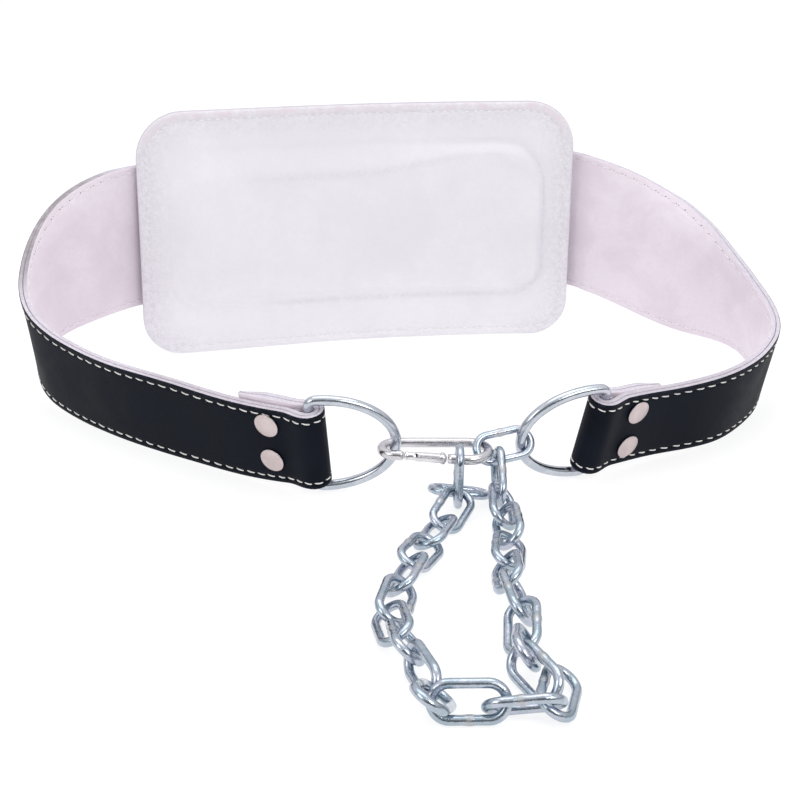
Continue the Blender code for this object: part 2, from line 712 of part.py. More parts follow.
clean("all")
every = np.concatenate([p[1] for p in PARTS])
lo, hi = every.min(0), every.max(0)
SHIFT = np.array([(lo[0] + hi[0]) / 2, (lo[1] + hi[1]) / 2, lo[2]])


def material(key):
    m = bpy.data.materials.new(key)
    m.use_nodes = True
    rgb, rough, metal = FINISHES[key]
    b = m.node_tree.nodes["Principled BSDF"]
    b.inputs["Base Color"].default_value = (*rgb, 1)
    b.inputs["Roughness"].default_value = rough
    b.inputs["Metallic"].default_value = metal
    return m


def make(name, points, faces, finish, round_piece, origin):
    centre = np.zeros(3) if origin is None else (np.asarray(origin) - SHIFT) / 1000
    mesh = bpy.data.meshes.new(name)
    mesh.from_pydata([tuple((p - SHIFT) / 1000 - centre) for p in points], [], [list(f) for f in faces])
    bm = bmesh.new()
    bm.from_mesh(mesh)
    bmesh.ops.recalc_face_normals(bm, faces=bm.faces)
    bm.to_mesh(mesh)
    bm.free()
    mesh.update()
    obj = bpy.data.objects.new(name, mesh)
    obj.location = tuple(centre)
    bpy.context.scene.collection.objects.link(obj)
    if finish:
        mesh.materials.append(material(finish))
    if round_piece:
        for p in mesh.polygons:
            p.use_smooth = True
    return obj


made = {}
for name, points, faces in HOLES:
    cutter = make(name, points, faces, None, False, None)
    cutter.hide_render = True
    cutter.display_type = "WIRE"
    made[name] = cutter
for name, points, faces, finish, round_piece, origin, cutters in PARTS:
    obj = make(name, points, faces, finish, round_piece, origin)
    made[name] = obj
    for c in cutters:
        m = obj.modifiers.new(c, "BOOLEAN")
        m.operation = "DIFFERENCE"
        m.solver = "EXACT"
        m.object = made[c]
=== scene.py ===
"""Looks of the leather dipping belt: suede back pad, two-layer strap with stitching, D-rings, rivets, snap hook, chain.

Design sizes are in millimetres in the photograph's own frame: X to the right, Y away from the viewer, Z up.
They are moved to the part's frame, in metres, by SHIFT.
"""

import math
import random

import bpy
import numpy as np
from mathutils import Matrix, Vector, noise

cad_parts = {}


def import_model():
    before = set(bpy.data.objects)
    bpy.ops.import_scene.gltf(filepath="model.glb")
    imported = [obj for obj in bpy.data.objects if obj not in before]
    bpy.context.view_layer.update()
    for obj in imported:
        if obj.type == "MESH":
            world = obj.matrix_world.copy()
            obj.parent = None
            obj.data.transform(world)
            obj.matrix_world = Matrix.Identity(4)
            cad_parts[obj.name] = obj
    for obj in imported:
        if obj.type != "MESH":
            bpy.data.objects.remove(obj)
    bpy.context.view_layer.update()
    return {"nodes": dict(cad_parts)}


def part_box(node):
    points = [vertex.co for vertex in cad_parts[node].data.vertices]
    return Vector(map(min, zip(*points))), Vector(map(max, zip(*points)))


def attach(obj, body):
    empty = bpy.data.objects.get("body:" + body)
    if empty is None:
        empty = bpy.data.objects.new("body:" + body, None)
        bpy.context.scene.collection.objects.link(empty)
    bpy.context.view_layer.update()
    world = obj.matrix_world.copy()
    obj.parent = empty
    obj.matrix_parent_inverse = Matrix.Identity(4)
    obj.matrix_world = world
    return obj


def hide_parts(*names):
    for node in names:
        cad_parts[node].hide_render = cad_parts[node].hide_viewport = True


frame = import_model()

# ---------------------------------------------------------------- sizes, mm
GAP = 0.35
LAYER = 3.0
SPLIT = 0.3
HALF = LAYER + SPLIT / 2
STRAP_W, BACK_W = 54.0, 110.0

PAD_W, PAD_H = 341.0, 192.0
PAD_CORNER = 34.0
PAD_FLANGE, PAD_SWELL = 7.6, 4.0
PAD_SHEAR = 4.7  # the lower left end reaches this much further out

RING_WIRE = 6.5
RING_HALF = 32.3
RING_BAR = 27.8
RING_DEPTH = 51.5
RING_RISE = {"left": 0.85, "right": 0.85}
TAIL_RISE = {"left": 3.0, "right": 0.0}

CURL_AT = ((-0.5, 0.0), (0.3, 0.0), (0.42, 0.4), (0.5, 1.0))
FOLD_R = RING_WIRE / 2 + GAP + HALF
TAIL_LEN, TAIL_SKIVE, BULGE_LEN = 48.5, 18.0, 17.0

RIVET_D, RIVET_DOME, RIVET_BACK_D = 16.4, 1.7, 13.0
RIVET_FROM_BAR = 26.2
RIVET_HEIGHTS = {"left": (16.4, -10.6), "right": (13.8, -13.3)}
END_SLANT = {"left": -0.045, "right": 0.0}

WIRE, LINK_LEN, LINK_W = 5.0, 40.0, 22.0

HOOK_WIRE, HOOK_Z, HOOK_BACK_Y = 6.2, 31.5, 755.0
HOOK_LEFT, HOOK_RIGHT = (-1.6, 9.5), (41.2, 13.0)
GATE_FREE_X, GATE_HINGE_X = 2.7, 25.8

STITCH_IN = 4.3  # from the strap's edge
STITCH_PITCH, STITCH_LONG = (7.2, 10.0), (5.8, 7.0)  # from stitch to stitch, and one stitch: at the folded ends and along the sides
PAD_STITCH_IN, PAD_STITCH_PITCH, PAD_STITCH_LONG = 6.9, 5.9, 3.6

# ---------------------------------------------------------------- tables, mm and degrees
STRAP_ROWS = (
    # x, y, lowest z, width, lean, curl
    (-55.1, 742.8, 5.9, STRAP_W, 13, 0),
    (-88, 759, 2.2, 58, 15, 0),
    (-137.5, 790.5, 0.8, 60, 13, 0),
    (-187, 826, 0.2, 60.5, 12, 0),
    (-232, 867, 0.6, 63.5, 10.5, 0),
    (-256, 894, 3.8, 69.5, 9, 0),
    (-267, 921, 13, 79, 3, 1.5),
    (-264, 941, 26, 88, -3, 5),
    (-253, 956, 33, 98, -4, 7),
    (-238, 972, 36.5, 106, -4, 6),
    (-221, 992, 38.5, 110, -3, 4),
    (-203, 1009, 40, BACK_W, -2, 1),
    (-177, 1018.5, 41, BACK_W, 0, 0),
)
STRAP_ROWS_RIGHT = (
    (134, 1062.2, 41, BACK_W, -0.5, 0),
    (157, 1050, 38.5, 107.5, 3.5, 0),
    (185, 1032.5, 31.5, 105, 8, 4.5),
    (214, 1013.5, 22, 99, 5, 10),
    (235, 994, 18.5, 88, -3, 9),
    (252, 971, 17.5, 76, -9, 4),
    (264, 945, 12.5, 65.5, -4, 0),
    (266, 913, 4.2, 60.5, 6.5, 0),
    (256.5, 881, 0.6, 59.5, 11, 0),
    (239.5, 851.5, 0.2, 58, 13.5, 0),
    (220.5, 828, 0.4, 57, 14.5, 0),
    (196.5, 810, 1.3, 55.5, 16, 0),
    (168, 795, 2.8, STRAP_W, 17, 0),
    (145.5, 780, 4.6, STRAP_W, 16, 0),
    (124.3, 765.8, 5.6, STRAP_W, 16, 0),
)
PAD_LINE = (
    # x, y
    (-201, 996),
    (-171, 1002),
    (-140, 1009.5),
    (-75, 1026.5),
    (-10, 1039.5),
    (55, 1047),
    (110, 1050),
    (140, 1049),
)


# ---------------------------------------------------------------- helpers
def unit(v):
    return np.asarray(v, float) / np.linalg.norm(v)


def smooth(t):
    t = np.clip(t, 0.0, 1.0)
    return t * t * (3 - 2 * t)


def natural_spline(knots, values, at):
    k, y = np.asarray(knots, float), np.asarray(values, float)
    n = len(k)
    h = np.diff(k)
    a = np.zeros((n, n))
    b = np.zeros((n, y.shape[1]))
    a[0, 0] = a[-1, -1] = 1
    for i in range(1, n - 1):
        a[i, i - 1], a[i, i], a[i, i + 1] = h[i - 1], 2 * (h[i - 1] + h[i]), h[i]
        b[i] = 6 * ((y[i + 1] - y[i]) / h[i] - (y[i] - y[i - 1]) / h[i - 1])
    m = np.linalg.solve(a, b)
    i = np.clip(np.searchsorted(k, at) - 1, 0, n - 2)
    t0, t1, hi = (k[i + 1] - at)[:, None], (at - k[i])[:, None], h[i][:, None]
    return (
        m[i] * t0**3 / (6 * hi)
        + m[i + 1] * t1**3 / (6 * hi)
        + (y[i] / hi - m[i] * hi / 6) * t0
        + (y[i + 1] / hi - m[i + 1] * hi / 6) * t1
    )


def along(points):
    return np.concatenate([[0], np.cumsum(np.linalg.norm(np.diff(points, axis=0), axis=1))])


def wave(x, y=0.0, z=0.0, seed=0.0):
    """Smooth noise from about -1 to 1."""
    return noise.noise(Vector((x + seed * 17.3, y - seed * 5.1, z + seed * 9.7)))


# ---------------------------------------------------------------- the strap's path, as the CAD has it
def pad_curve(offset, step=4.0):
    p = np.array(PAD_LINE, float)
    k = along(p)
    s = np.linspace(0, k[-1], int(k[-1] / step) + 1)
    c = natural_spline(k, p, s)
    t = np.gradient(c, axis=0)
    t /= np.linalg.norm(t, axis=1)[:, None]
    n = np.stack([-t[:, 1], t[:, 0]], 1)
    return c + n * offset, n, s


def strap_frames():
    behind, _, s = pad_curve(PAD_FLANGE + GAP + 0.1 + HALF)
    mid = [(behind[i][0], behind[i][1], 41.0, BACK_W, 0, 0) for i in [int(len(s) * f) for f in (0.27, 0.42, 0.57, 0.72, 0.87)]]
    rows = np.array(list(STRAP_ROWS) + mid + list(STRAP_ROWS_RIGHT), float)
    knots = along(rows[:, :2])
    n = 132
    at = np.linspace(0, knots[-1], n)
    r = natural_spline(knots, rows, at)
    width = np.interp(at, knots, rows[:, 3]) * 0.5 + r[:, 3] * 0.5
    xy = r[:, :2]
    pad, pn, _ = pad_curve(PAD_FLANGE, 2.0)
    for i in range(n):
        d = np.linalg.norm(pad - xy[i], axis=1)
        j = d.argmin()
        need = HALF + GAP + 0.25
        if 0 < j < len(pad) - 1:
            off = float(np.dot(xy[i] - pad[j], pn[j]))
            if -15 < off < need:
                xy[i] = xy[i] + pn[j] * (need - off)
        elif d[j] < need + 1.5:
            xy[i] = pad[j] + (xy[i] - pad[j]) / d[j] * (need + 1.5)
    t = np.gradient(xy, axis=0)
    t /= np.linalg.norm(t, axis=1)[:, None]
    out = np.stack([-t[:, 1], t[:, 0], np.zeros(n)], 1)
    lean = np.radians(r[:, 4])
    up = np.array([0.0, 0.0, 1.0])
    high = out * np.sin(lean)[:, None] + up * np.cos(lean)[:, None]
    face = out * np.cos(lean)[:, None] - up * np.sin(lean)[:, None]
    z = np.maximum(r[:, 2], 0.05) + width / 2 * np.cos(lean) + HALF * np.abs(np.sin(lean))
    mid = np.column_stack([xy, z])
    tan = np.column_stack([t, np.zeros(n)])
    s = along(mid)
    for end, d in (("left", s), ("right", s[-1] - s)):
        high = high + tan * (END_SLANT[end] * (1 - smooth(d / 90)))[:, None]
    high /= np.linalg.norm(high, axis=1)[:, None]
    return mid, face, high, width, tan, np.maximum(np.interp(at, knots, rows[:, 5]), 0)


def fold(mid, face, high, width, tan, curl, sign):
    n = len(mid)
    order = range(n) if sign < 0 else range(n - 1, -1, -1)
    q, prev, dist = 0.0, None, {}
    for i in order:
        if prev is not None:
            q += np.linalg.norm(mid[i] - mid[prev])
        dist[i] = q
        prev = i
        if q > TAIL_LEN + 20:
            break
    spread = {i: (FOLD_R - HALF - GAP / 2) * (1 - smooth(d / BULGE_LEN)) for i, d in dist.items()}
    end = 0 if sign < 0 else n - 1
    beyond = tan[end] * sign
    tail = []
    for i, d in dist.items():
        if d > TAIL_LEN:
            continue
        off = 2 * HALF + GAP + spread[i]
        k = 1 - 0.62 * smooth((d - (TAIL_LEN - TAIL_SKIVE)) / TAIL_SKIVE)
        lift = TAIL_RISE["left" if sign < 0 else "right"] * float(smooth(d / 22))
        tail.append((mid[i] - face[i] * off + high[i] * lift, -face[i], high[i], width[i], k, 0.0))
    new_mid = mid.copy()
    for i, b in spread.items():
        new_mid[i] = mid[i] + face[i] * b
    bar = new_mid[end] - face[end] * FOLD_R
    arc = []
    for j in range(1, 10):
        a = math.pi * j / 10
        d = math.cos(a) * face[end] + math.sin(a) * beyond
        arc.append((bar + d * FOLD_R, d, high[end], width[end], 1.0, 0.0))
    return bar, new_mid, arc + tail


def refine(mid, face, high, width, tan, curl):
    s = along(mid)
    ends = np.concatenate([np.arange(0, 60, 4.0), np.linspace(60, s[-1] - 60, 92), s[-1] - np.arange(0, 60, 4.0)[::-1]])
    pick = lambda a: np.stack([np.interp(ends, s, a[:, k]) for k in range(a.shape[1])], 1)
    norm = lambda a: a / np.linalg.norm(a, axis=1)[:, None]
    even = lambda a: np.interp(ends, s, a)
    return pick(mid), norm(pick(face)), norm(pick(high)), even(width), norm(pick(tan)), even(curl)


mid, face, high, width, tan, curl = refine(*strap_frames())
left_bar, mid_a, left_fold = fold(mid, face, high, width, tan, curl, -1)
right_bar, mid_b, right_fold = fold(mid_a, face, high, width, tan, curl, 1)
ribbon = list(reversed(left_fold)) + [(mid_b[i], face[i], high[i], width[i], 1.0, curl[i]) for i in range(len(mid))] + right_fold

# the part's frame: the lining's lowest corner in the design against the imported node's
corner = np.array(
    [
        p + n * (off + c * share) + h * (w * side)
        for p, n, h, w, k, c in ribbon
        for off in (-HALF, -HALF + LAYER * k)
        for side, share in CURL_AT
    ]
)
SHIFT = corner.min(0) - np.array(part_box("strap_lining")[0]) * 1000.0


def place_all(points):
    return (np.asarray(points, float).reshape(-1, 3) - SHIFT) / 1000.0


def build(name, points, faces, materials, zones=None, body="belt", nodes=(), values=None):
    """A smooth mesh object riding on a body. zones gives each face's material; values holds named numbers for the points."""
    mesh = bpy.data.meshes.new(name)
    mesh.from_pydata([tuple(p) for p in place_all(points)], [], [tuple(int(i) for i in f) for f in faces])
    for m in materials:
        mesh.materials.append(m)
    if zones is not None:
        mesh.polygons.foreach_set("material_index", np.asarray(zones, np.int32))
    mesh.polygons.foreach_set("use_smooth", np.ones(len(mesh.polygons), bool))
    for key, numbers in (values or {}).items():
        mesh.attributes.new(key, "FLOAT", "POINT").data.foreach_set("value", np.asarray(numbers, np.float32))
    mesh.validate()
    mesh.update()
    obj = bpy.data.objects.new(name, mesh)
    bpy.context.scene.collection.objects.link(obj)
    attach(obj, body)
    if nodes:
        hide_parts(*nodes)
    return obj


class Heap:
    """Many small closed forms gathered into one mesh."""

    def __init__(self):
        self.points, self.faces = [], []

    def tube(self, path, side, up, radii, sides=6, flat=1.0):
        base = len(self.points)
        n = len(path)
        for i in range(n):
            for j in range(sides):
                a = 2 * math.pi * j / sides
                self.points.append(path[i] + radii[i] * (math.cos(a) * side[i] + math.sin(a) * up[i] * flat))
        for i in range(n - 1):
            for j in range(sides):
                k = (j + 1) % sides
                a, b = base + i * sides, base + (i + 1) * sides
                self.faces.append((a + j, a + k, b + k, b + j))
        self.faces.append(tuple(base + j for j in reversed(range(sides))))
        self.faces.append(tuple(base + (n - 1) * sides + j for j in range(sides)))

    def disc(self, centre, side, up, normal, radius, long, sides=8, dip=0.12):
        """A low button, a little longer than wide."""
        base = len(self.points)
        for r, lift in ((1.0, -dip), (0.92, 0.0)):
            for j in range(sides):
                a = 2 * math.pi * j / sides
                self.points.append(centre + radius * r * (math.cos(a) * side * long + math.sin(a) * up) + normal * lift)
        for j in range(sides):
            k = (j + 1) % sides
            self.faces.append((base + j, base + k, base + sides + k, base + sides + j))
        self.faces.append(tuple(base + sides + j for j in range(sides)))
        self.faces.append(tuple(base + j for j in reversed(range(sides))))


def tube(path, radius, sides=8, closed=True, up=(0, 0, 1), turn=0.0):
    path = np.asarray(path, float)
    n = len(path)
    rad = np.full(n, radius, float) if np.isscalar(radius) else np.asarray(radius, float)
    tan = np.roll(path, -1, axis=0) - np.roll(path, 1, axis=0) if closed else np.gradient(path, axis=0)
    tan = tan / np.linalg.norm(tan, axis=1)[:, None]
    up = unit(up)
    side = np.cross(up[None], tan)
    side /= np.linalg.norm(side, axis=1)[:, None]
    top = np.cross(tan, side)
    a = 2 * math.pi * (np.arange(sides) + turn) / sides
    ring = np.cos(a)[None, :, None] * side[:, None] + np.sin(a)[None, :, None] * top[:, None]
    points = (path[:, None] + rad[:, None, None] * ring).reshape(-1, 3)
    faces = []
    for i in range(n if closed else n - 1):
        for j in range(sides):
            k = (j + 1) % sides
            nxt = ((i + 1) % n) * sides
            faces.append((i * sides + j, i * sides + k, nxt + k, nxt + j))
    if not closed:
        faces.append(tuple(reversed(range(sides))))
        faces.append(tuple((n - 1) * sides + j for j in range(sides)))
    return points, faces


def turned(profile, centre, axis, sides=48):
    axis = unit(axis)
    a = unit(np.cross(axis, (0.3, 0.1, 1.0)))
    b = np.cross(axis, a)
    points, rings = [], []
    for r, h in profile:
        if r < 1e-6:
            rings.append([len(points)])
            points.append(centre + axis * h)
        else:
            rings.append([len(points) + j for j in range(sides)])
            for j in range(sides):
                t = 2 * math.pi * j / sides
                points.append(centre + axis * h + r * (math.cos(t) * a + math.sin(t) * b))
    faces = []
    for lo, hi in zip(rings[:-1], rings[1:]):
        for j in range(sides):
            k = (j + 1) % sides
            if len(lo) == 1:
                faces.append((lo[0], hi[k], hi[j]))
            elif len(hi) == 1:
                faces.append((lo[j], lo[k], hi[0]))
            else:
                faces.append((lo[j], lo[k], hi[k], hi[j]))
    return np.array(points), faces


# ---------------------------------------------------------------- materials
class Look:
    """A Principled material with a few shorthand calls for procedural nodes."""

    def __init__(self, name, roughness=0.5, metallic=0.0, specular=0.5):
        self.m = bpy.data.materials.new(name)
        self.m.use_nodes = True
        self.t = self.m.node_tree
        self.b = self.t.nodes["Principled BSDF"]
        self.b.inputs["Roughness"].default_value = roughness
        self.b.inputs["Metallic"].default_value = metallic
        self.b.inputs["Specular IOR Level"].default_value = specular
        self.where = self.t.nodes.new("ShaderNodeTexCoord").outputs["Object"]

    def join(self, a, b):
        self.t.links.new(a, b)

    def set(self, socket, value):
        if hasattr(value, "links"):
            self.join(value, socket)
        elif isinstance(value, (tuple, list)) and len(value) == 3 and socket.type == "RGBA":
            socket.default_value = (*value, 1)
        else:
            socket.default_value = value

    def stretch(self, scale, turn=(0, 0, 0)):
        n = self.t.nodes.new("ShaderNodeMapping")
        n.inputs["Scale"].default_value = scale
        n.inputs["Rotation"].default_value = turn
        self.join(self.where, n.inputs["Vector"])
        return n.outputs["Vector"]

    def noise(self, scale, detail=4.0, rough=0.55, distort=0.0, at=None):
        n = self.t.nodes.new("ShaderNodeTexNoise")
        n.inputs["Scale"].default_value = scale
        n.inputs["Detail"].default_value = detail
        n.inputs["Roughness"].default_value = rough
        n.inputs["Distortion"].default_value = distort
        self.join(at or self.where, n.inputs["Vector"])
        return n.outputs["Fac"]

    def cells(self, scale, kind="F1", at=None, soft=None):
        n = self.t.nodes.new("ShaderNodeTexVoronoi")
        n.feature = kind
        n.inputs["Scale"].default_value = scale
        if soft is not None and "Smoothness" in n.inputs:
            n.inputs["Smoothness"].default_value = soft
        self.join(at or self.where, n.inputs["Vector"])
        return n.outputs["Distance"]

    def attribute(self, name):
        n = self.t.nodes.new("ShaderNodeAttribute")
        n.attribute_name = name
        return n.outputs["Fac"]

    def span(self, value, lo, hi, to_lo=0.0, to_hi=1.0):
        n = self.t.nodes.new("ShaderNodeMapRange")
        n.interpolation_type = "SMOOTHSTEP"
        for key, x in (("From Min", lo), ("From Max", hi), ("To Min", to_lo), ("To Max", to_hi)):
            n.inputs[key].default_value = x
        self.join(value, n.inputs["Value"])
        return n.outputs["Result"]

    def maths(self, kind, a, b=0.0):
        n = self.t.nodes.new("ShaderNodeMath")
        n.operation = kind
        self.set(n.inputs[0], a)
        self.set(n.inputs[1], b)
        return n.outputs[0]

    def mix(self, share, a, b, kind="MIX"):
        n = self.t.nodes.new("ShaderNodeMix")
        n.data_type = "RGBA"
        n.blend_type = kind
        self.set(n.inputs[0], share)
        self.set(n.inputs[6], a)
        self.set(n.inputs[7], b)
        return n.outputs[2]

    def bump(self, height, distance, strength=1.0, under=None):
        n = self.t.nodes.new("ShaderNodeBump")
        n.inputs["Strength"].default_value = strength
        n.inputs["Distance"].default_value = distance
        self.join(height, n.inputs["Height"])
        if under is not None:
            self.join(under, n.inputs["Normal"])
        return n.outputs["Normal"]

    def done(self, colour=None, rough=None, normal=None):
        if colour is not None:
            self.set(self.b.inputs["Base Color"], colour)
        if rough is not None:
            self.set(self.b.inputs["Roughness"], rough)
        if normal is not None:
            self.join(normal, self.b.inputs["Normal"])
        return self.m


def suede(name, light, dark, shade, patch=22, contrast=1.0, nap=0.00022, rim=None, blush=None):
    k = Look(name, 0.92, 0.0, 0.18)
    wide = k.span(k.noise(patch, 5, 0.6, 0.4), 0.36, 0.66)
    mottle = k.span(k.noise(patch * 9, 6, 0.7, 0.8), 0.34, 0.68)
    fibre = k.noise(1500, 5, 0.7, 1.5)
    fleck = k.span(k.noise(620, 3, 0.6), 0.56, 0.74)
    c = k.mix(k.maths("MULTIPLY", wide, 0.75 * contrast), light, dark)
    c = k.mix(k.maths("MULTIPLY", mottle, 0.55 * contrast), c, shade)
    c = k.mix(k.maths("MULTIPLY", fleck, 0.30 * contrast), c, dark)
    c = k.mix(k.span(fibre, 0.35, 0.65, 0.0, 0.22), c, shade, "MULTIPLY")
    if rim is not None:
        # rim darkens towards the rim colour: a darker tone along the pad's outer edge and painted shade along its step
        c = k.mix(k.maths("MULTIPLY", k.attribute("rim"), k.span(k.noise(330, 6, 0.75, 0.8), 0.36, 0.64, 0.15, 1.0)), c, rim)
        c = k.mix(k.maths("MULTIPLY", k.attribute("blush"), k.span(k.noise(120, 5, 0.7), 0.34, 0.62)), c, blush)
    n = k.bump(k.noise(90, 6, 0.65, 0.5), 0.0006, 0.5)
    n = k.bump(k.noise(420, 5, 0.7, 0.7), nap, 0.9, n)
    n = k.bump(fibre, 0.00008, 0.8, n)
    k.b.inputs["Sheen Weight"].default_value = 0.25
    k.b.inputs["Sheen Roughness"].default_value = 0.45
    return k.done(c, k.span(mottle, 0, 1, 0.86, 0.98), n)


# (0.73, 0.70, 0.755) is the rim colour, used for a darker edge tone and for painted shade along the step
PAD_SUEDE = suede("pad_suede", (0.895, 0.873, 0.913), (0.81, 0.785, 0.832), (0.845, 0.82, 0.865), 14, 0.7, 0.00026, (0.73, 0.70, 0.755), (0.77, 0.69, 0.745))
PAD_BACK = suede("pad_back_suede", (0.66, 0.625, 0.68), (0.52, 0.49, 0.55), (0.58, 0.55, 0.61), 18, 0.8)
LINING = suede("lining_suede", (0.86, 0.785, 0.85), (0.72, 0.635, 0.715), (0.785, 0.705, 0.775), 26, 0.7, 0.0003)


def black_leather():
    k = Look("black_leather_grain", 0.52, 0.0, 0.05)
    grain = k.cells(950, "SMOOTH_F1", k.stretch((1, 1, 1)), 0.35)
    pores = k.noise(2300, 3, 0.6)
    wide = k.noise(28, 5, 0.6, 0.6)
    crease = k.noise(150, 6, 0.6, 1.2)
    c = k.mix(k.span(wide, 0.35, 0.68), (0.0040, 0.0058, 0.0105), (0.0072, 0.0094, 0.0165))
    c = k.mix(k.span(pores, 0.60, 0.75, 0.0, 0.5), c, (0.015, 0.017, 0.025))
    c = k.mix(k.maths("MULTIPLY", k.attribute("rim"), k.span(k.noise(260, 5, 0.7), 0.42, 0.62)), c, (0.03, 0.033, 0.045))
    n = k.bump(crease, 0.0004, 0.30)
    n = k.bump(grain, 0.00016, 0.65, n)
    n = k.bump(pores, 0.00004, 0.5, n)
    return k.done(c, k.span(wide, 0.3, 0.7, 0.46, 0.60), n)


def cut_edge(name, light, dark, stain):
    k = Look(name, 0.9, 0.0, 0.2)
    layers = k.noise(420, 6, 0.7, 1.2)
    rough = k.noise(1300, 4, 0.7)
    wide = k.noise(45, 4, 0.6)
    c = k.mix(k.span(layers, 0.36, 0.66), light, dark)
    c = k.mix(k.span(wide, 0.42, 0.7, 0.0, 0.35), c, dark)
    c = k.mix(k.maths("MULTIPLY", k.attribute("stain"), k.span(k.noise(190, 5, 0.7), 0.28, 0.6, 0.5, 1.0)), c, stain)
    n = k.bump(layers, 0.0005, 0.8)
    n = k.bump(rough, 0.00015, 0.8, n)
    return k.done(c, 0.92, n)


BLACK = black_leather()
EDGE = cut_edge("cut_edge_leather", (0.72, 0.675, 0.745), (0.59, 0.545, 0.62), (0.26, 0.225, 0.235))
FLESH = cut_edge("flesh_side_leather", (0.70, 0.65, 0.71), (0.55, 0.50, 0.57), (0.26, 0.225, 0.235))


def thread(name, light, dark):
    k = Look(name, 0.72, 0.0, 0.3)
    twist = k.noise(1700, 3, 0.6, 0.0, k.stretch((1, 1, 0.45), (0.5, 0.5, 0)))
    c = k.mix(k.span(twist, 0.38, 0.62), light, dark)
    k.b.inputs["Sheen Weight"].default_value = 0.2
    return k.done(c, None, k.bump(twist, 0.00012, 0.9))


WHITE_THREAD = thread("white_thread", (0.90, 0.88, 0.85), (0.70, 0.67, 0.64))
PAD_THREAD = thread("pad_thread", (0.93, 0.91, 0.93), (0.80, 0.77, 0.81))
LINING_THREAD = thread("lining_thread", (0.90, 0.85, 0.88), (0.74, 0.68, 0.72))


def needle_hole():
    k = Look("needle_hole_shade", 0.95, 0.0, 0.1)
    c = k.mix(k.span(k.noise(900, 3), 0.4, 0.6), (0.16, 0.13, 0.17), (0.30, 0.26, 0.31))
    return k.done(c, None, k.bump(k.noise(1600), 0.0001, 0.5))


HOLE = needle_hole()


def metal(name, one, two, rough_lo, rough_hi, lumps, lump_scale, spots=0.0, dull=None):
    k = Look(name, 0.3, 1.0, 0.5)
    cloud = k.noise(110, 5, 0.6, 0.6)
    fine = k.noise(lump_scale, 4, 0.6, 0.4)
    scratch = k.noise(900, 3, 0.6, 0.0, k.stretch((1.0, 0.25, 2.4), (0.4, 0.2, 0.7)))
    c = k.mix(k.span(cloud, 0.36, 0.66), one, two)
    if spots:
        c = k.mix(k.span(k.noise(430, 4, 0.7), 0.60, 0.78, 0.0, spots), c, tuple(x * 0.55 for x in one))
    r = k.span(k.noise(260, 5, 0.65), 0.34, 0.68, rough_lo, rough_hi)
    if dull:
        share = k.attribute("weld")
        c = k.mix(k.maths("MULTIPLY", share, 0.7), c, dull)
        r = k.maths("ADD", r, k.maths("MULTIPLY", share, 0.2))
    n = k.bump(fine, lumps, 0.8)
    n = k.bump(scratch, 0.00002, 0.5, n)
    return k.done(c, r, n)


RING = metal("ring_steel_plate", (0.486, 0.526, 0.58), (0.583, 0.603, 0.664), 0.14, 0.26, 0.00010, 330, 0.25)
ZINC = metal("chain_zinc_plate", (0.37, 0.445, 0.51), (0.50, 0.523, 0.605), 0.12, 0.28, 0.00022, 420, 0.40, (0.48, 0.47, 0.46))
HOOK = metal("hook_steel_plate", (0.576, 0.564, 0.585), (0.656, 0.635, 0.663), 0.16, 0.30, 0.00010, 420, 0.15)
GATE = metal("gate_steel_plate", (0.68, 0.67, 0.69), (0.75, 0.73, 0.75), 0.20, 0.34, 0.00008, 420, 0.10)
NICKEL = metal("rivet_nickel_plate", (0.58, 0.492, 0.495), (0.643, 0.551, 0.558), 0.36, 0.50, 0.00007, 700, 0.10)


def dark_gap():
    k = Look("joint_shadow", 0.8, 0.0, 0.2)
    return k.done(k.mix(k.noise(700), (0.012, 0.012, 0.015), (0.04, 0.04, 0.045)), None, k.bump(k.noise(900), 0.0001))


DARK = dark_gap()


# ---------------------------------------------------------------- the strap at a fine pitch
def fine_ribbon(step=2.0):
    table = np.array([list(p) + list(n) + list(h) + [w, k, c] for p, n, h, w, k, c in ribbon])
    s = along(table[:, :3])
    at = np.linspace(0, s[-1], int(s[-1] / step) + 1)
    r = natural_spline(s, table, at)
    for k in (10, 11):
        r[:, k] = np.interp(at, s, table[:, k])
    soft = np.convolve(np.pad(r[:, 11], 9, mode="edge"), np.hanning(21)[1:-1] / np.hanning(21)[1:-1].sum(), mode="valid")
    r[:, 11] = soft[: len(r)]
    n = r[:, 3:6] / np.linalg.norm(r[:, 3:6], axis=1)[:, None]
    h = r[:, 6:9] / np.linalg.norm(r[:, 6:9], axis=1)[:, None]
    return at, r[:, :3], n, h, r[:, 9], r[:, 10], np.maximum(r[:, 11], 0)


S, P, N, H, W, K, C = fine_ribbon()
COUNT = len(S)


def curl_share(side):
    """The share of the curl at a height given in widths, with the corners of the CAD's broken line rounded."""
    return float(np.mean([np.interp(side + d, [a for a, _ in CURL_AT], [b for _, b in CURL_AT]) for d in (-0.02, 0.0, 0.02)]))


CUTS = (0.9, 1.9, 2.9, 3.7, 4.3, 4.9, 5.8, 7.8, 11.0)  # distances from the edge where the wide faces have points
MIDDLE = 14


def levels(w):
    low = [-w / 2 + c for c in CUTS]
    mid = list(np.linspace(low[-1], -low[-1], MIDDLE + 2)[1:-1])
    return low + mid + [-x for x in reversed(low)]


def relief(w, h, amount):
    """The leather is drawn in along the seams and stands a little proud between them and the edge."""
    d = w / 2 - abs(h)
    return -amount * math.exp(-(((d - STITCH_IN) / 0.7) ** 2)) + 0.35 * amount * math.exp(-(((d - 2.4) / 1.1) ** 2))


STAIN_ZONES = (
    # from, to: distance along the ribbon in mm, strength; dark patches on the cut edges and flesh side
    (50, 215, 0.25),
    (330, 470, 0.75),
    (1120, 1290, 0.25),
)


def stain_at(s):
    out = 0.0
    for a, b, strength in STAIN_ZONES:
        out = max(out, strength * float(smooth((s - a) / 40)) * float(smooth((b - s) / 40)))
    return out


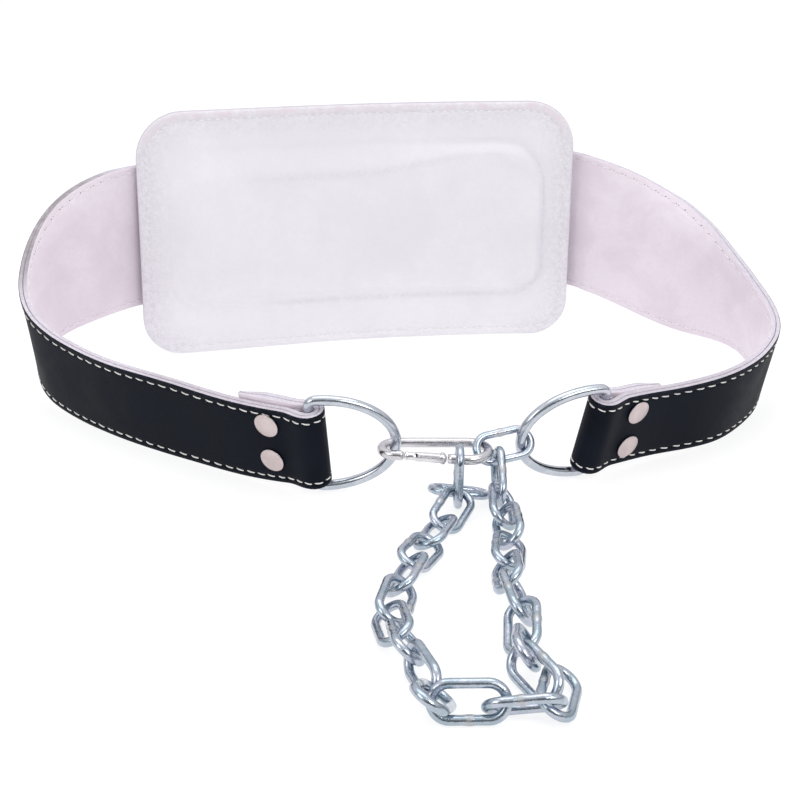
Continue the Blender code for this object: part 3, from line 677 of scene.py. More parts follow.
def layer(name, outer):
    """A leather layer with rounded edges. The outer one shows its grain outwards, the lining its suede inwards."""
    points, stains, rims = [], [], []
    count = None
    for i in range(COUNT):
        w, k = W[i] + 0.35 * wave(S[i] / 31.0, seed=3), K[i]
        if outer:
            lo, hi = -HALF + LAYER * k + SPLIT, -HALF + 2 * LAYER * k + SPLIT
        else:
            lo, hi = -HALF, -HALF + LAYER * k
        r = min(0.5, 0.42 * (hi - lo))
        ls = levels(w)
        loop = []
        swell = 0.18 * wave(S[i] / 45.0, seed=8)
        arc = [math.radians(a) for a in (90, 60, 30)]
        for a in arc:
            loop.append((-w / 2 + r - r * math.sin(a), hi - r + r * math.cos(a), 0))
        for h in ls:
            loop.append((h, hi + relief(w, h, 0.42 if outer else 0.0), 0))
        for a in reversed(arc):
            loop.append((w / 2 - r + r * math.sin(a), hi - r + r * math.cos(a), 0))
        for a in arc:
            loop.append((w / 2 - r + r * math.sin(a), lo + r - r * math.cos(a), 0))
        for h in reversed(ls):
            loop.append((h, lo - relief(w, h, 0.0 if outer else 0.34), 0))
        for a in reversed(arc):
            loop.append((-w / 2 + r - r * math.sin(a), lo + r - r * math.cos(a), 0))
        count = len(loop)
        st = stain_at(S[i])
        for h, off, _ in loop:
            ripple = swell * math.sin(math.pi * (h / w + 0.5)) * 0.5
            points.append(P[i] + N[i] * (off + ripple + C[i] * curl_share(h / w)) + H[i] * h)
            stains.append(st)
            rims.append(max(0.0, 1 - (w / 2 - abs(h)) / 1.6))
    face_n = 3 + len(levels(60.0)) + 3
    zones_loop = []
    for j in range(count):
        if j < face_n - 1:
            zones_loop.append(0 if outer or 1 <= j < face_n - 2 else 1)
        elif j == face_n - 1 or j == count - 1:
            zones_loop.append(1)
        else:
            zones_loop.append(2 if face_n + 1 <= j < count - 2 else 1)
    faces, zones = [], []
    for i in range(COUNT - 1):
        for j in range(count):
            a, b = i * count + j, i * count + (j + 1) % count
            faces.append((a, b, b + count, a + count))
            zones.append(zones_loop[j])
    faces.append(tuple(reversed(range(count))))
    faces.append(tuple((COUNT - 1) * count + j for j in range(count)))
    zones += [1, 1]
    mats = [BLACK, EDGE, FLESH] if outer else [FLESH, EDGE, LINING]
    return build(
        name, points, faces, mats, zones, "belt", ["strap_outer" if outer else "strap_lining"],
        {"stain": stains, "rim": rims},
    )


layer("strap_outer_leather", True)
layer("strap_lining_suede", False)


# ---------------------------------------------------------------- the strap's stitching
def seam(side, outer):
    """The line that a row of stitches follows: points, normal away from the leather, and the direction across."""
    line, normal = [], []
    for i in range(COUNT):
        w = W[i] + 0.35 * wave(S[i] / 31.0, seed=3)
        h = side * (w / 2 - STITCH_IN)
        lo, hi = -HALF + LAYER * K[i] + SPLIT, -HALF + 2 * LAYER * K[i] + SPLIT
        swell = 0.18 * wave(S[i] / 45.0, seed=8) * math.sin(math.pi * (h / w + 0.5)) * 0.5
        off = (hi - 0.42 if outer else -HALF + 0.34) + swell
        line.append(P[i] + N[i] * (off + C[i] * curl_share(h / w)) + H[i] * h)
        normal.append(N[i] if outer else -N[i])
    return np.array(line), np.array(normal), H


def sew(line, normal, across, pitch, long, radius, rise, seed, start=2.0, stop=2.0, slant=0.35, hole=0.42, closed=False):
    rng = random.Random(seed)
    s = along(line)
    pick = lambda a, x: np.array([np.interp(x, s, a[:, k]) for k in range(3)])
    heap, holes = Heap(), Heap()
    x = start
    far = lambda pair: pair[0] + (pair[1] - pair[0]) * float(smooth((min(x, s[-1] - x) - 75) / 90)) if isinstance(pair, tuple) else pair
    while x + far(long) < s[-1] - stop:
        size = far(long) * rng.uniform(0.93, 1.06)
        lean = slant * rng.uniform(0.6, 1.3)
        wander = rng.uniform(-0.18, 0.18)
        fat = radius * rng.uniform(0.93, 1.08)
        path, side, up, radii = [], [], [], []
        for t in (-0.04, 0.04, 0.16, 0.34, 0.5, 0.66, 0.84, 0.96, 1.04):
            q = np.clip(x + size * t, 0, s[-1])
            lift = -0.75 + (0.75 + rise) * min(1.0, max(0.0, math.sin(math.pi * min(max(t, 0.0), 1.0))) ** 0.42)
            path.append(pick(line, q) + pick(normal, q) * lift + pick(across, q) * (lean * (t - 0.5) * 2 + wander))
            side.append(unit(pick(across, q)))
            up.append(unit(pick(normal, q)))
            radii.append(fat * (0.62 if t < 0 or t > 1 else 0.86 if t < 0.1 or t > 0.9 else 1.0))
        heap.tube(path, side, up, radii, 8)
        if hole:
            for end in (-0.06, 1.06):
                q = np.clip(x + size * end, 0, s[-1])
                n, a = unit(pick(normal, q)), unit(pick(across, q))
                holes.disc(pick(line, q) + n * 0.02 + a * (lean * (1 if end > 0 else -1) + wander), np.cross(a, n), a, n, hole, 1.35)
        x += far(pitch) * rng.uniform(0.97, 1.03)
    return heap, holes


def add_heap(name, heap, material, body="belt"):
    return build(name, heap.points, heap.faces, [material], None, body, ())


for label, side in (("upper", 1), ("lower", -1)):
    line, normal, across = seam(side, True)
    threads, holes = sew(line, normal, across, STITCH_PITCH, STITCH_LONG, 0.47, 0.40, 11 + side, slant=0.50, hole=0.5)
    add_heap(f"strap_outer_stitches_{label}", threads, WHITE_THREAD)
    line, normal, across = seam(side, False)
    threads, holes = sew(line, normal, across, STITCH_PITCH, tuple(0.94 * x for x in STITCH_LONG), 0.55, 0.34, 21 + side, slant=0.2, hole=0.55)
    add_heap(f"strap_lining_stitches_{label}", threads, LINING_THREAD)
    add_heap(f"strap_lining_needle_holes_{label}", holes, HOLE)


# ---------------------------------------------------------------- rivets
def rivet_places():
    out = []
    for name, order in (("left", 1), ("right", -1)):
        idx = list(range(len(mid)))[::order]
        s = along(mid[idx])
        at = lambda a: np.array([np.interp(RIVET_FROM_BAR, s, a[idx][:, k]) for k in range(3)])
        p, n, h = at(mid), unit(at(face)), unit(at(high))
        for level, z in zip(("upper", "lower"), RIVET_HEIGHTS[name]):
            out.append((f"rivet_{name}_{level}", p + h * z, n))
    return out


for name, p, n in rivet_places():
    r, dome = RIVET_D / 2, RIVET_DOME
    front = HALF + GAP + 0.1
    back = -(3 * HALF + 2 * GAP) + 0.2
    profile = [(0, back - 1.3), (RIVET_BACK_D * 0.25, back - 1.28), (RIVET_BACK_D / 2 - 0.9, back - 1.2), (RIVET_BACK_D / 2 - 0.2, back - 0.95)]
    profile += [(RIVET_BACK_D / 2, back - 0.6), (RIVET_BACK_D / 2 - 0.1, back - 0.35), (2.5, back - 0.3), (2.5, front), (r - 0.5, front)]
    profile += [(r - 0.1, front + 0.1), (r, front + 0.4), (r - 0.12, front + 0.72), (r - 0.5, front + 0.9), (r - 0.75, front + 0.86)]
    profile += [(r - 1.0, front + 0.95), (r - 1.4, front + 1.14)]
    for j in range(1, 9):
        a = j / 8
        profile.append(((r - 1.4) * (1 - a), front + 1.14 + (dome - 0.79) * (1 - (1 - a) ** 2)))
    pts, fcs = turned(profile, p, n, 48)
    build(name + "_head", pts, fcs, [NICKEL], None, "belt", [name])


# ---------------------------------------------------------------- D-rings
def d_path(bar, high_dir, out_dir, rise, corner=5.0, straight=6.0, arc_n=96, bends=10):
    h = unit(high_dir)
    d = unit(np.asarray(out_dir, float) - np.dot(out_dir, h) * h)
    c = bar + h * rise
    flat = [(0, RING_BAR * t) for t in np.linspace(-1, 1, 17)]
    r0 = RING_HALF - RING_BAR
    for j in range(1, bends + 1):
        a = math.pi / 2 * j / bends
        flat.append((corner * (1 - math.cos(a)), RING_BAR + r0 * math.sin(a)))
    for j in range(arc_n + 1):
        a = math.pi / 2 - math.pi * j / arc_n
        flat.append((straight + (RING_DEPTH - straight) * math.cos(a), RING_HALF * math.sin(a)))
    for j in range(0, bends):
        a = math.pi / 2 * (bends - j) / bends
        flat.append((corner * (1 - math.cos(a)), -(RING_BAR + r0 * math.sin(a))))
    return np.array([c + d * x + h * y for x, y in flat]), np.cross(h, d)


for side, bar, hd, od in (("left", left_bar, high[0], (1, 0.01, 0.0)), ("right", right_bar, high[-1], (-1, -0.36, 0.0))):
    path, up = d_path(bar, hd, od, RING_RISE[side])
    pts, fcs = tube(path, RING_WIRE / 2, 24, True, up)
    build(f"d_ring_{side}_wire", pts, fcs, [RING], None, "belt", [f"d_ring_{side}"])


# ---------------------------------------------------------------- snap hook
def hook_line(fine=4):
    (xl, rl), (xr, rr) = HOOK_LEFT, HOOK_RIGHT
    yl, yr = HOOK_BACK_Y - rl, HOOK_BACK_Y - rr
    slope = math.asin((yl - rl - (yr - rr)) / (xr - xl))
    pts = []
    front_l = (xl - rl * math.sin(slope), yl - rl * math.cos(slope))
    front_r = (xr - rr * math.sin(slope), yr - rr * math.cos(slope))
    at = lambda x: front_l[1] + (front_r[1] - front_l[1]) * (x - front_l[0]) / (front_r[0] - front_l[0])
    for d in (0.6, 1.2, 2.0, 2.8):
        pts.append((GATE_FREE_X - d, at(GATE_FREE_X - d)))
    for j in range(8 * fine + 1):
        a = -math.pi / 2 - slope - (math.pi - slope) * j / (8 * fine)
        pts.append((xl + rl * math.cos(a), yl + rl * math.sin(a)))
    for t in np.linspace(0, 1, 10)[1:-1]:
        pts.append((xl + (xr - xl) * t, HOOK_BACK_Y))
    for j in range(10 * fine + 1):
        a = math.pi / 2 - (math.pi + slope) * j / (10 * fine)
        pts.append((xr + rr * math.cos(a), yr + rr * math.sin(a)))
    end = GATE_HINGE_X + 3.3
    for t in np.linspace(0, 1, 5)[1:]:
        x = pts[-1][0] if t == 0 else front_r[0] + (end - front_r[0]) * t
        pts.append((x, at(x)))
    return pts, at


HOOK_PTS, FRONT_Y = hook_line()
path = np.array([(x, y, HOOK_Z) for x, y in HOOK_PTS])
radii = np.full(len(path), HOOK_WIRE / 2)
radii[0], radii[1] = 2.3, 2.85
radii[-1] = 2.9
pts, fcs = tube(path, radii, 24, False, (0, 0, 1))
build("snap_hook_body_wire", pts, fcs, [HOOK], None, "belt", ["snap_hook_body"])

hinge = np.array([GATE_HINGE_X, FRONT_Y(GATE_HINGE_X), HOOK_Z])
free = np.array([GATE_FREE_X, FRONT_Y(GATE_FREE_X), HOOK_Z])
gate_dir = unit(hinge - free)
gate_side = unit(np.cross((0, 0, 1), gate_dir))
gate_up = np.array([0, 0, 1.0])
gate_len = float(np.linalg.norm(hinge - free))


def gate_mesh():
    """The gate: a pressed tube with a narrower neck by its nose and a rounded tail round the pin."""
    stations = [
        # distance from the free end, radius
        (0.0, 1.9), (0.35, 2.45), (0.9, 2.75), (1.6, 2.85), (2.2, 2.6), (2.8, 2.45), (5.6, 2.45), (6.6, 2.6), (7.4, 2.95), (8.0, 3.05),
        (11.0, 3.05), (15.0, 3.05), (19.0, 3.05), (gate_len - 1.6, 3.05), (gate_len, 3.05), (gate_len + 0.9, 2.95), (gate_len + 1.6, 2.6), (gate_len + 2.2, 1.9), (gate_len + 2.5, 0.9),
    ]
    sides = 28
    points, faces = [], []
    for t, r in stations:
        for j in range(sides):
            a = 2 * math.pi * j / sides
            # the pressed top is flattened a little and carries a raised strip
            flat = 1.0 - (0.05 if 8.0 < t < gate_len - 1 and abs(math.sin(a)) > 0.85 else 0.0)
            points.append(free + gate_dir * t + r * flat * (math.cos(a) * gate_side + math.sin(a) * gate_up))
    for i in range(len(stations) - 1):
        for j in range(sides):
            k = (j + 1) % sides
            faces.append((i * sides + j, i * sides + k, (i + 1) * sides + k, (i + 1) * sides + j))
    faces.append(tuple(reversed(range(sides))))
    faces.append(tuple((len(stations) - 1) * sides + j for j in range(sides)))
    return points, faces


def bar_on_gate(start, stop, tilt, wide, proud, seg=10):
    """A strip lying along the gate, turned round it by tilt from straight up towards the viewer."""
    a0 = math.pi / 2 - math.radians(tilt)
    points, faces = [], []
    ts = [start, start + 0.3, start + 0.6] + list(np.linspace(start + 1.2, stop - 1.2, seg)) + [stop - 0.6, stop - 0.3, stop]
    sweep = np.linspace(-wide, wide, 9)
    for i, t in enumerate(ts):
        edge = min(1.0, min(t - start, stop - t) / 0.6)
        for q, d in enumerate(sweep):
            a = a0 + d / 3.05
            r = 2.85 + (0.2 + proud) * min(1.0, edge + 0.02) * (1.0 if 0 < q < 8 else 0.4)
            points.append(free + gate_dir * t + r * (math.cos(a) * -gate_side * -1 + math.sin(a) * gate_up))
        for d in (wide, -wide):
            a = a0 + d / 3.05
            points.append(free + gate_dir * t + 2.4 * (math.cos(a) * gate_side + math.sin(a) * gate_up))
    n = 11
    for i in range(len(ts) - 1):
        for j in range(n):
            k = (j + 1) % n
            faces.append((i * n + j, i * n + k, (i + 1) * n + k, (i + 1) * n + j))
    faces.append(tuple(reversed(range(n))))
    faces.append(tuple((len(ts) - 1) * n + j for j in range(n)))
    return points, faces


pts, fcs = gate_mesh()
build("snap_hook_gate_tube", pts, fcs, [GATE], None, "gate", ["snap_hook_gate"])
front = -1 if gate_side[1] > 0 else 1  # which way round the gate the viewer is
tilt = 48 * (1 if front < 0 else -1)
pts, fcs = bar_on_gate(8.6, gate_len - 0.6, tilt * -1, 1.25, 0.34)
build("snap_hook_gate_strip", pts, fcs, [GATE], None, "gate", ())
pts, fcs = bar_on_gate(7.2, 8.7, tilt * -1, 1.15, 0.22, 3)
build("snap_hook_gate_slot", pts, fcs, [DARK], None, "gate")

# the pin's two flat heads, above and below the gate
for label, sign in (("top", 1), ("bottom", -1)):
    pts, fcs = turned([(0, 2.2), (1.5, 2.2), (1.5, 3.2), (1.3, 3.42), (0.7, 3.5), (0, 3.52)], hinge, (0, 0, sign), 24)
    build(f"snap_hook_pin_{label}", pts, fcs, [HOOK], None, "belt", ())


# ---------------------------------------------------------------- chain
def link_line(arc=20, straight=14):
    r = (LINK_W - WIRE) / 2
    half = (LINK_LEN - WIRE) / 2 - r
    pts = []
    for j in range(arc + 1):
        a = -math.pi / 2 + math.pi * j / arc
        pts.append((half + r * math.cos(a), r * math.sin(a)))
    for t in np.linspace(1, -1, straight + 2)[1:-1]:
        pts.append((half * t, r))
    for j in range(arc + 1):
        a = math.pi / 2 + math.pi * j / arc
        pts.append((-half + r * math.cos(a), r * math.sin(a)))
    for t in np.linspace(-1, 1, straight + 2)[1:-1]:
        pts.append((half * t, -r))
    return np.array(pts)


LINK_FLAT = link_line()


def link_pose(node):
    """The middle and axes of a packed link, from its own points."""
    co = np.array([v.co for v in frame["nodes"][node].data.vertices], float)
    co = np.unique(np.round(co, 7), axis=0)
    middle = (co.min(0) + co.max(0)) / 2
    middle = co.mean(0)
    _, vectors = np.linalg.eigh(np.cov((co - middle).T))
    length, across = vectors[:, 2], vectors[:, 1]
    return middle * 1000 + SHIFT, length, across, np.cross(length, across)


WELD_SIDES = {"chain_link_12": (0, -1, 0), "chain_link_13": (0, 0, 1)}  # where these two links are welded
link_nodes = sorted(n for n in frame["nodes"] if n.startswith("chain_link_"))
for index, node in enumerate(link_nodes):
    middle, length, across, up = link_pose(node)
    side = WELD_SIDES.get(node, (0, 0, -1 if index % 3 == 0 else 1))
    if np.dot(across, side) < 0:
        across, up = -across, -up
    path = LINK_FLAT[:, :1] * length + LINK_FLAT[:, 1:] * across + middle
    d = np.abs(LINK_FLAT[:, 0]) + np.where(LINK_FLAT[:, 1] > 0, 0, 99)
    weld = np.exp(-((d / 1.9) ** 2))
    radii = WIRE / 2 * (1 + 0.10 * weld - 0.03 * np.exp(-(((d - 3.6) / 1.0) ** 2)))
    pts, fcs = tube(path, radii, 20, True, up)
    values = np.repeat(weld, 20)
    build(f"{node}_wire", pts, fcs, [ZINC], None, "belt", [node], {"weld": values})


# ---------------------------------------------------------------- back pad
def rounded(w, h, radii, n_corner=12, n_long=104, n_short=54):
    """A rounded rectangle, anticlockwise from the lower right. radii are lower right, upper right, upper left, lower left."""
    pts = []
    spec = (
        (w / 2, -h / 2, -1, 1, -90, radii[0], n_short, 1),
        (w / 2, h / 2, -1, -1, 0, radii[1], n_long, 2),
        (-w / 2, h / 2, 1, -1, 90, radii[2], n_short, 3),
        (-w / 2, -h / 2, 1, 1, 180, radii[3], n_long, 0),
    )
    ends = []
    for x, y, sx, sy, start, r, n_side, nxt in spec:
        cx, cy = x + sx * r, y + sy * r
        ends.append([(cx + r * math.cos(math.radians(start + 90 * j / n_corner)), cy + r * math.sin(math.radians(start + 90 * j / n_corner))) for j in range(n_corner + 1)])
    for q, (x, y, sx, sy, start, r, n_side, nxt) in enumerate(spec):
        pts.extend(ends[q])
        a, b = ends[q][-1], ends[nxt][0]
        for j in range(1, n_side):
            t = j / n_side
            pts.append((a[0] + (b[0] - a[0]) * t, a[1] + (b[1] - a[1]) * t))
    return np.array(pts)


PAD_C, PAD_N, PAD_S = pad_curve(0.0, 2.0)
PAD_HALF = PAD_S[-1] / 2
PAD_RADII = (30.0, 36.0, 36.0, 30.0)  # lower right, upper right, upper left, lower left


def pad_place(u, z, off):
    """A point of the pad: u along its curve from the middle, z above the floor, off away from the wearer."""
    u = u - PAD_SHEAR * float(smooth((-u - 40) / 130)) * (1 - z / PAD_H)
    c = min(max(u, -PAD_HALF), PAD_HALF)
    x, y = np.interp(c + PAD_HALF, PAD_S, PAD_C[:, 0]), np.interp(c + PAD_HALF, PAD_S, PAD_C[:, 1])
    n = unit([np.interp(c + PAD_HALF, PAD_S, PAD_N[:, 0]), np.interp(c + PAD_HALF, PAD_S, PAD_N[:, 1])])
    t = np.array([n[1], -n[0]])
    return np.array([x + t[0] * (u - c) + n[0] * off, y + t[1] * (u - c) + n[1] * off, z])


def box_distance(x, y, cx, cy, hx, hy, radii):
    """Signed distance from a box with its own radius at each corner: lower right, upper right, upper left, lower left."""
    x, y = x - cx, y - cy
    r = radii[0] if x > 0 and y < 0 else radii[1] if x > 0 else radii[2] if y > 0 else radii[3]
    qx, qy = abs(x) - hx + r, abs(y) - hy + r
    return math.hypot(max(qx, 0), max(qy, 0)) + min(max(qx, qy), 0) - r


def ridge(x, y, x0, y0, x1, y1, wide):
    """1 on the line between two points, falling off with distance."""
    dx, dy = x1 - x0, y1 - y0
    t = min(1.0, max(0.0, ((x - x0) * dx + (y - y0) * dy) / (dx * dx + dy * dy)))
    d = math.hypot(x - x0 - dx * t, y - y0 - dy * t)
    return math.exp(-((d / wide) ** 2)) * math.sin(math.pi * (0.15 + 0.7 * t))


PAD_FOLDS = (
    # from x, y, to x, y, half width, height; mm over the pad from its lower middle
    (-112, 44, -62, 33, 3.2, 0.55),
    (-100, 36, -48, 22, 3.0, -0.5),
    (-84, 26, -30, 24, 3.4, 0.45),
    (-150, 60, -128, 36, 4.0, 0.5),
    (-145, 150, -120, 168, 4.5, 0.5),
    (-132, 140, -96, 158, 4.0, -0.4),
    (58, 160, 58, 186, 1.6, -0.7),
    (55, 162, 54, 184, 1.8, 0.5),
    (118, 40, 141, 60, 2.2, 0.8),
    (104, 158, 142, 136, 2.4, 0.8),
    (146, 66, 147, 128, 1.6, 0.5),
    (-146, 80, -145, 122, 1.8, -0.6),
    (-144, 70, -134, 40, 2.4, -0.6),
    (10, 44, 60, 40, 4.0, 0.35),
)


def pad_front(u, v):
    """How far the front stands towards the wearer."""
    d = box_distance(u, v, 0.5, 98.0, 147.5, 62.0, (26, 36, 22, 24))
    right = float(smooth((u + 30) / 150))
    over = float(smooth((abs(v - 98.0) - 62.0 - abs(u - 0.5) + 147.5) / 24 + 0.5))  # 1 along the upper and lower sides, 0 at the ends
    top_step = 20 - 14 * float(smooth((u + 5) / 110))
    long_step = top_step if v > 98.0 else 10 - 4 * right
    step = long_step * over + (16 - 12.4 * right) * (1 - over)
    t = min(1.0, max(0.0, -d / step))
    swell = PAD_SWELL * (0.45 * float(smooth(t)) + 0.55 * t)
    lip = -0.8 * math.exp(-(((d - 1.6) / 2.2) ** 2)) * (0.3 + 0.7 * right) + 0.25 * math.exp(-(((d + step) / 3.0) ** 2)) * right
    soft = 0.45 * wave(u / 60, v / 45, seed=1) + 0.22 * wave(u / 22, v / 20, seed=2) + 0.07 * wave(u / 8, v / 7, seed=4)
    folds = sum(height * ridge(u, v, x0, y0, x1, y1, wide) for x0, y0, x1, y1, wide, height in PAD_FOLDS)
    return swell + lip + soft + folds


def painted_step_shade_share(u, v):
    """How much painted shade darkens the suede: along the foot of the step below, right and left, and under the slope
    above.
    """
    d = box_distance(u, v, 0.5, 98.0, 147.5, 62.0, (26, 36, 22, 24))
    below = float(smooth((70 - v) / 30)) * float(smooth((u + 90) / 50))
    right = float(smooth((u - 125) / 15)) * float(smooth((175 - v) / 30))
    left = 0.5 * float(smooth((-u - 125) / 15)) * float(smooth((150 - v) / 30))
    foot = max(below * math.exp(-(((d + 1.0) / 2.4) ** 2)), max(right, left) * math.exp(-(((d - 0.4) / 1.3) ** 2)))
    under = 0.5 * math.exp(-(((d + 21 - 14 * float(smooth((u + 5) / 110))) / 3.6) ** 2)) * float(smooth((v - 110) / 20)) * float(smooth((100 - abs(u)) / 50))
    return max(0.8 * foot, under)


PAD_EDGE = (
    # inset, distance from the front: round the edge from the front to the back, with a seam between two layers
    (3.0, 0.0), (1.9, 0.25), (0.95, 0.75), (0.35, 1.5), (0.05, 2.4), (0.1, 3.1), (0.55, 3.55), (0.9, 3.75),
    (0.55, 3.95), (0.15, 4.4), (0.0, 5.2), (0.3, 6.1), (0.95, 6.9), (2.0, 7.4), (3.2, 7.6),
)


def pad_outline(inset):
    width = min(PAD_W, PAD_S[-1] - 0.5)
    w, h = width - 2 * inset, PAD_H - 2 * inset
    radii = [max(min(r - inset * 0.8, w / 2 - 0.6, h / 2 - 0.6), min(3.0, h / 2 - 0.6)) for r in PAD_RADII]
    return rounded(w, h, radii)


def rim_share(inset):
    return float(smooth((inset - 3) / 8))


def make_pad():
    points, faces, zones, rows = [], [], [], []
    rims, blushes = [], []
    fronts = [4.0, 5.0, 5.8, 6.4, 6.9, 7.4, 8.0, 9.4, 11.3] + [13.2, 15.2, 17.2, 19.2] + [20.2 + 0.8 * i for i in range(12)] + [31.2 + 2.0 * i for i in range(16)]
    backs = [4.6, 6.5, 7.5, 8.5, 11, 16, 24, 34, 46, 60, 76, 90]

    def add_row(inset, off_of):
        o = pad_outline(inset)
        ids = list(range(len(points), len(points) + len(o)))
        for u, v in o:
            z = v + PAD_H / 2 + 0.02
            points.append(pad_place(u, z, off_of(u, z)))
            sides = max(0.35, float(smooth((abs(u) - 110) / 40)), 0.75 * float(smooth((z - 150) / 30)))
            # rim: a darker tone towards the outer edge, and painted shade along the foot of the step and under the top
            # bevel
            rims.append(max(float(smooth((30 - inset) / 26)) * sides, painted_step_shade_share(u, z) if inset > 12 else 0.0))
            blushes.append(float(smooth((7.5 - inset) / 4)) * float(smooth((z - 155) / 25)))
        rows.append((inset, ids))
        return ids

    def front_off(inset):
        def f(u, z):
            groove = 0.5 * math.exp(-(((inset - PAD_STITCH_IN) / 0.75) ** 2)) - 0.22 * math.exp(-(((inset - 4.4) / 1.4) ** 2))
            near = rim_share(inset)
            return -(pad_front(u, z) * near) + groove

        return f

    def back_off(inset):
        def f(u, z):
            groove = 0.4 * math.exp(-(((inset - PAD_STITCH_IN) / 0.9) ** 2))
            return PAD_FLANGE - groove

        return f

    inner = [add_row(i, front_off(i)) for i in reversed(fronts)]
    edge = [add_row(i, lambda u, z, o=o: o) for i, o in PAD_EDGE]
    rear = [add_row(i, back_off(i)) for i in backs]
    loops = inner + edge + rear
    n = len(loops[0])
    for q, (lo, hi) in enumerate(zip(loops[:-1], loops[1:])):
        for j in range(n):
            k = (j + 1) % n
            faces.append((lo[j], hi[j], hi[k], lo[k]))
            zones.append(0 if q < len(inner) + 3 else 1)
    # the middle of the front is an even net between the four sides of the innermost row, which meet in its corners
    ring = pad_outline(fronts[-1])
    mark = [6, 72, 188, 254]  # the middles of the corners: lower right, upper right, upper left, lower left
    wide, tall = mark[2] - mark[1], mark[1] - mark[0]
    low = [(mark[3] + i) % n for i in range(wide + 1)]
    high_side = [mark[2] - i for i in range(wide + 1)]
    left_side = [mark[3] - j for j in range(tall + 1)]
    right_side = [mark[0] + j for j in range(tall + 1)]
    off = front_off(fronts[-1])
    net = {}
    for i in range(wide + 1):
        for j in range(tall + 1):
            if i in (0, wide) or j in (0, tall):
                side = low[i] if j == 0 else high_side[i] if j == tall else left_side[j] if i == 0 else right_side[j]
                net[i, j] = loops[0][side]
                continue
            a, b = i / wide, j / tall
            edges = (1 - b) * ring[low[i]] + b * ring[high_side[i]] + (1 - a) * ring[left_side[j]] + a * ring[right_side[j]]
            corners = (1 - b) * ((1 - a) * ring[low[0]] + a * ring[low[-1]]) + b * ((1 - a) * ring[high_side[0]] + a * ring[high_side[-1]])
            u, v = edges - corners
            z = v + PAD_H / 2 + 0.02
            net[i, j] = len(points)
            points.append(pad_place(u, z, off(u, z)))
            # rim here is painted shade along the step
            rims.append(painted_step_shade_share(u, z))
            blushes.append(0.0)
    for i in range(wide):
        for j in range(tall):
            faces.append((net[i, j], net[i + 1, j], net[i + 1, j + 1], net[i, j + 1]))
            zones.append(0)
    for loop, flip in ((loops[-1], True),):
        # the hidden middle of the back is closed with quads between the two long sides
        left = min(range(n), key=lambda i: points[loop[i]][0])
        lower = [(left + q) % n for q in range(n // 2 + 1)]
        upper = [(left - q) % n for q in range(n // 2 + 1)]
        for i in range(len(lower) - 1):
            ids = []
            for q in (lower[i], lower[i + 1], upper[i + 1], upper[i]):
                if loop[q] not in ids:
                    ids.append(loop[q])
            if len(ids) > 2:
                faces.append(tuple(reversed(ids)) if flip else tuple(ids))
                zones.append(1 if flip else 0)
    pad = build("back_pad_suede", points, faces, [PAD_SUEDE, PAD_BACK], zones, "belt", ["back_pad"], {"rim": rims, "blush": blushes})
    return pad


make_pad()

for label, sign in (("front", 1), ("back", -1)):
    o = pad_outline(PAD_STITCH_IN)
    o = np.vstack([o, o[:1]])
    line, normal, across = [], [], []
    for i, (u, v) in enumerate(o):
        z = v + PAD_H / 2 + 0.02
        off = (-pad_front(u, z) * rim_share(PAD_STITCH_IN) + 0.5) if sign > 0 else PAD_FLANGE - 0.4
        a = pad_place(u, z, off)
        b = pad_place(u, z, off - sign)
        nxt, prv = o[(i + 1) % (len(o) - 1)], o[(i - 1) % (len(o) - 1)]
        t = unit(np.array(nxt) - np.array(prv))
        inward = pad_place(u - t[1], z + t[0], off) - a
        line.append(a)
        normal.append(unit(b - a))
        across.append(unit(inward))
    threads, holes = sew(np.array(line), np.array(normal), np.array(across), PAD_STITCH_PITCH, PAD_STITCH_LONG, 0.5, 0.32, 31 + sign, 1.0, 0.5, 0.15, 0.55)
    add_heap(f"back_pad_stitches_{label}", threads, PAD_THREAD)
    add_heap(f"back_pad_needle_holes_{label}", holes, HOLE)


# ---------------------------------------------------------------- floor, light and camera
def floor():
    size = 7.0
    mesh = bpy.data.meshes.new("studio_floor")
    mesh.from_pydata([(-size, -size, -0.0002), (size, -size, -0.0002), (size, size, -0.0002), (-size, size, -0.0002)], [], [(0, 1, 2, 3)])
    k = Look("studio_floor_paper", 0.75, 0.0, 0.12)
    c = k.mix(k.span(k.noise(3.0, 3), 0.3, 0.7), (0.25, 0.25, 0.252), (0.265, 0.265, 0.267))
    k.b.inputs["Emission Color"].default_value = (1, 1, 1, 1)
    k.b.inputs["Emission Strength"].default_value = 0.80
    mesh.materials.append(k.done(c, None, k.bump(k.noise(400), 0.00005, 0.2)))
    obj = bpy.data.objects.new("studio_floor", mesh)
    bpy.context.scene.collection.objects.link(obj)


def area(name, place, target, size, power, colour=(1, 1, 1)):
    data = bpy.data.lights.new(name, "AREA")
    data.shape = "RECTANGLE"
    data.size, data.size_y = size
    data.energy = power
    data.color = colour
    obj = bpy.data.objects.new(name, data)
    bpy.context.scene.collection.objects.link(obj)
    obj.location = place
    obj.rotation_mode = "QUATERNION"
    obj.rotation_quaternion = (Vector(target) - Vector(place)).to_track_quat("-Z", "Y")


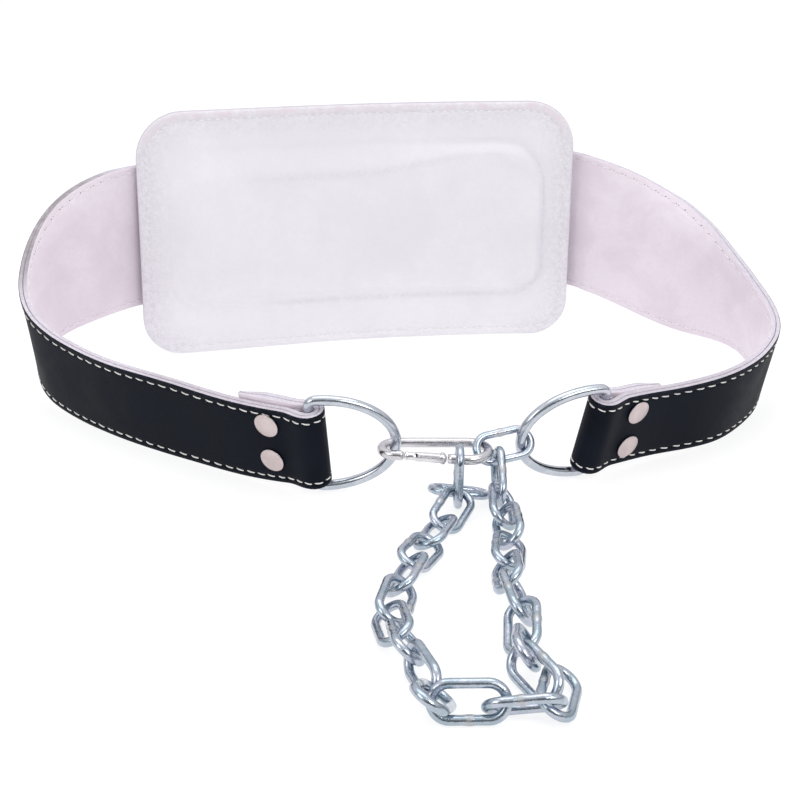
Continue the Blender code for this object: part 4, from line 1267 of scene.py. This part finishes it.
def world():
    w = bpy.data.worlds.new("studio")
    bpy.context.scene.world = w
    w.use_nodes = True
    t = w.node_tree
    back = t.nodes["Background"]
    coord = t.nodes.new("ShaderNodeTexCoord")
    split = t.nodes.new("ShaderNodeSeparateXYZ")
    t.links.new(coord.outputs["Generated"], split.inputs[0])

    def span(value, lo, hi, a, b):
        n = t.nodes.new("ShaderNodeMapRange")
        n.interpolation_type = "SMOOTHSTEP"
        for key, x in (("From Min", lo), ("From Max", hi), ("To Min", a), ("To Max", b)):
            n.inputs[key].default_value = x
        t.links.new(value, n.inputs["Value"])
        return n.outputs["Result"]

    def maths(kind, a, b):
        n = t.nodes.new("ShaderNodeMath")
        n.operation = kind
        for socket, x in zip(n.inputs, (a, b)):
            if hasattr(x, "links"):
                t.links.new(x, socket)
            else:
                socket.default_value = x
        return n.outputs[0]

    up = span(split.outputs["Z"], 0.02, 0.55, 0.42, 0.95)
    front = span(split.outputs["Y"], -0.85, -0.15, 0.30, 1.0)
    high = span(split.outputs["Z"], 0.45, 0.85, 0.0, 1.0)
    share = maths("MAXIMUM", front, high)
    t.links.new(maths("MULTIPLY", up, share), back.inputs["Strength"])
    back.inputs["Color"].default_value = (0.97, 0.985, 1.0, 1)


floor()
world()
area("key_light", (1.1, -1.5, 1.5), (0, 0.1, 0.05), (1.3, 1.0), 14)
area("fill_light", (-1.5, -1.2, 1.1), (0, 0.1, 0.05), (1.0, 1.2), 8.5)
area("top_light", (0.0, 0.3, 2.2), (0, 0.0, 0.0), (2.0, 1.6), 14)

camera = bpy.data.cameras.new("photo_camera")
camera.lens, camera.sensor_width = 59.85, 36
camera.clip_start, camera.clip_end = 0.05, 60
eye = bpy.data.objects.new("photo_camera", camera)
bpy.context.scene.collection.objects.link(eye)
eye.location = (np.array([0.0, 0.0, 365.0]) - SHIFT) / 1000.0
eye.rotation_euler = (math.radians(68), 0, 0)
bpy.context.scene.camera = eye
bpy.context.scene.view_settings.view_transform = "Standard"
bpy.context.scene.view_settings.look = "None"
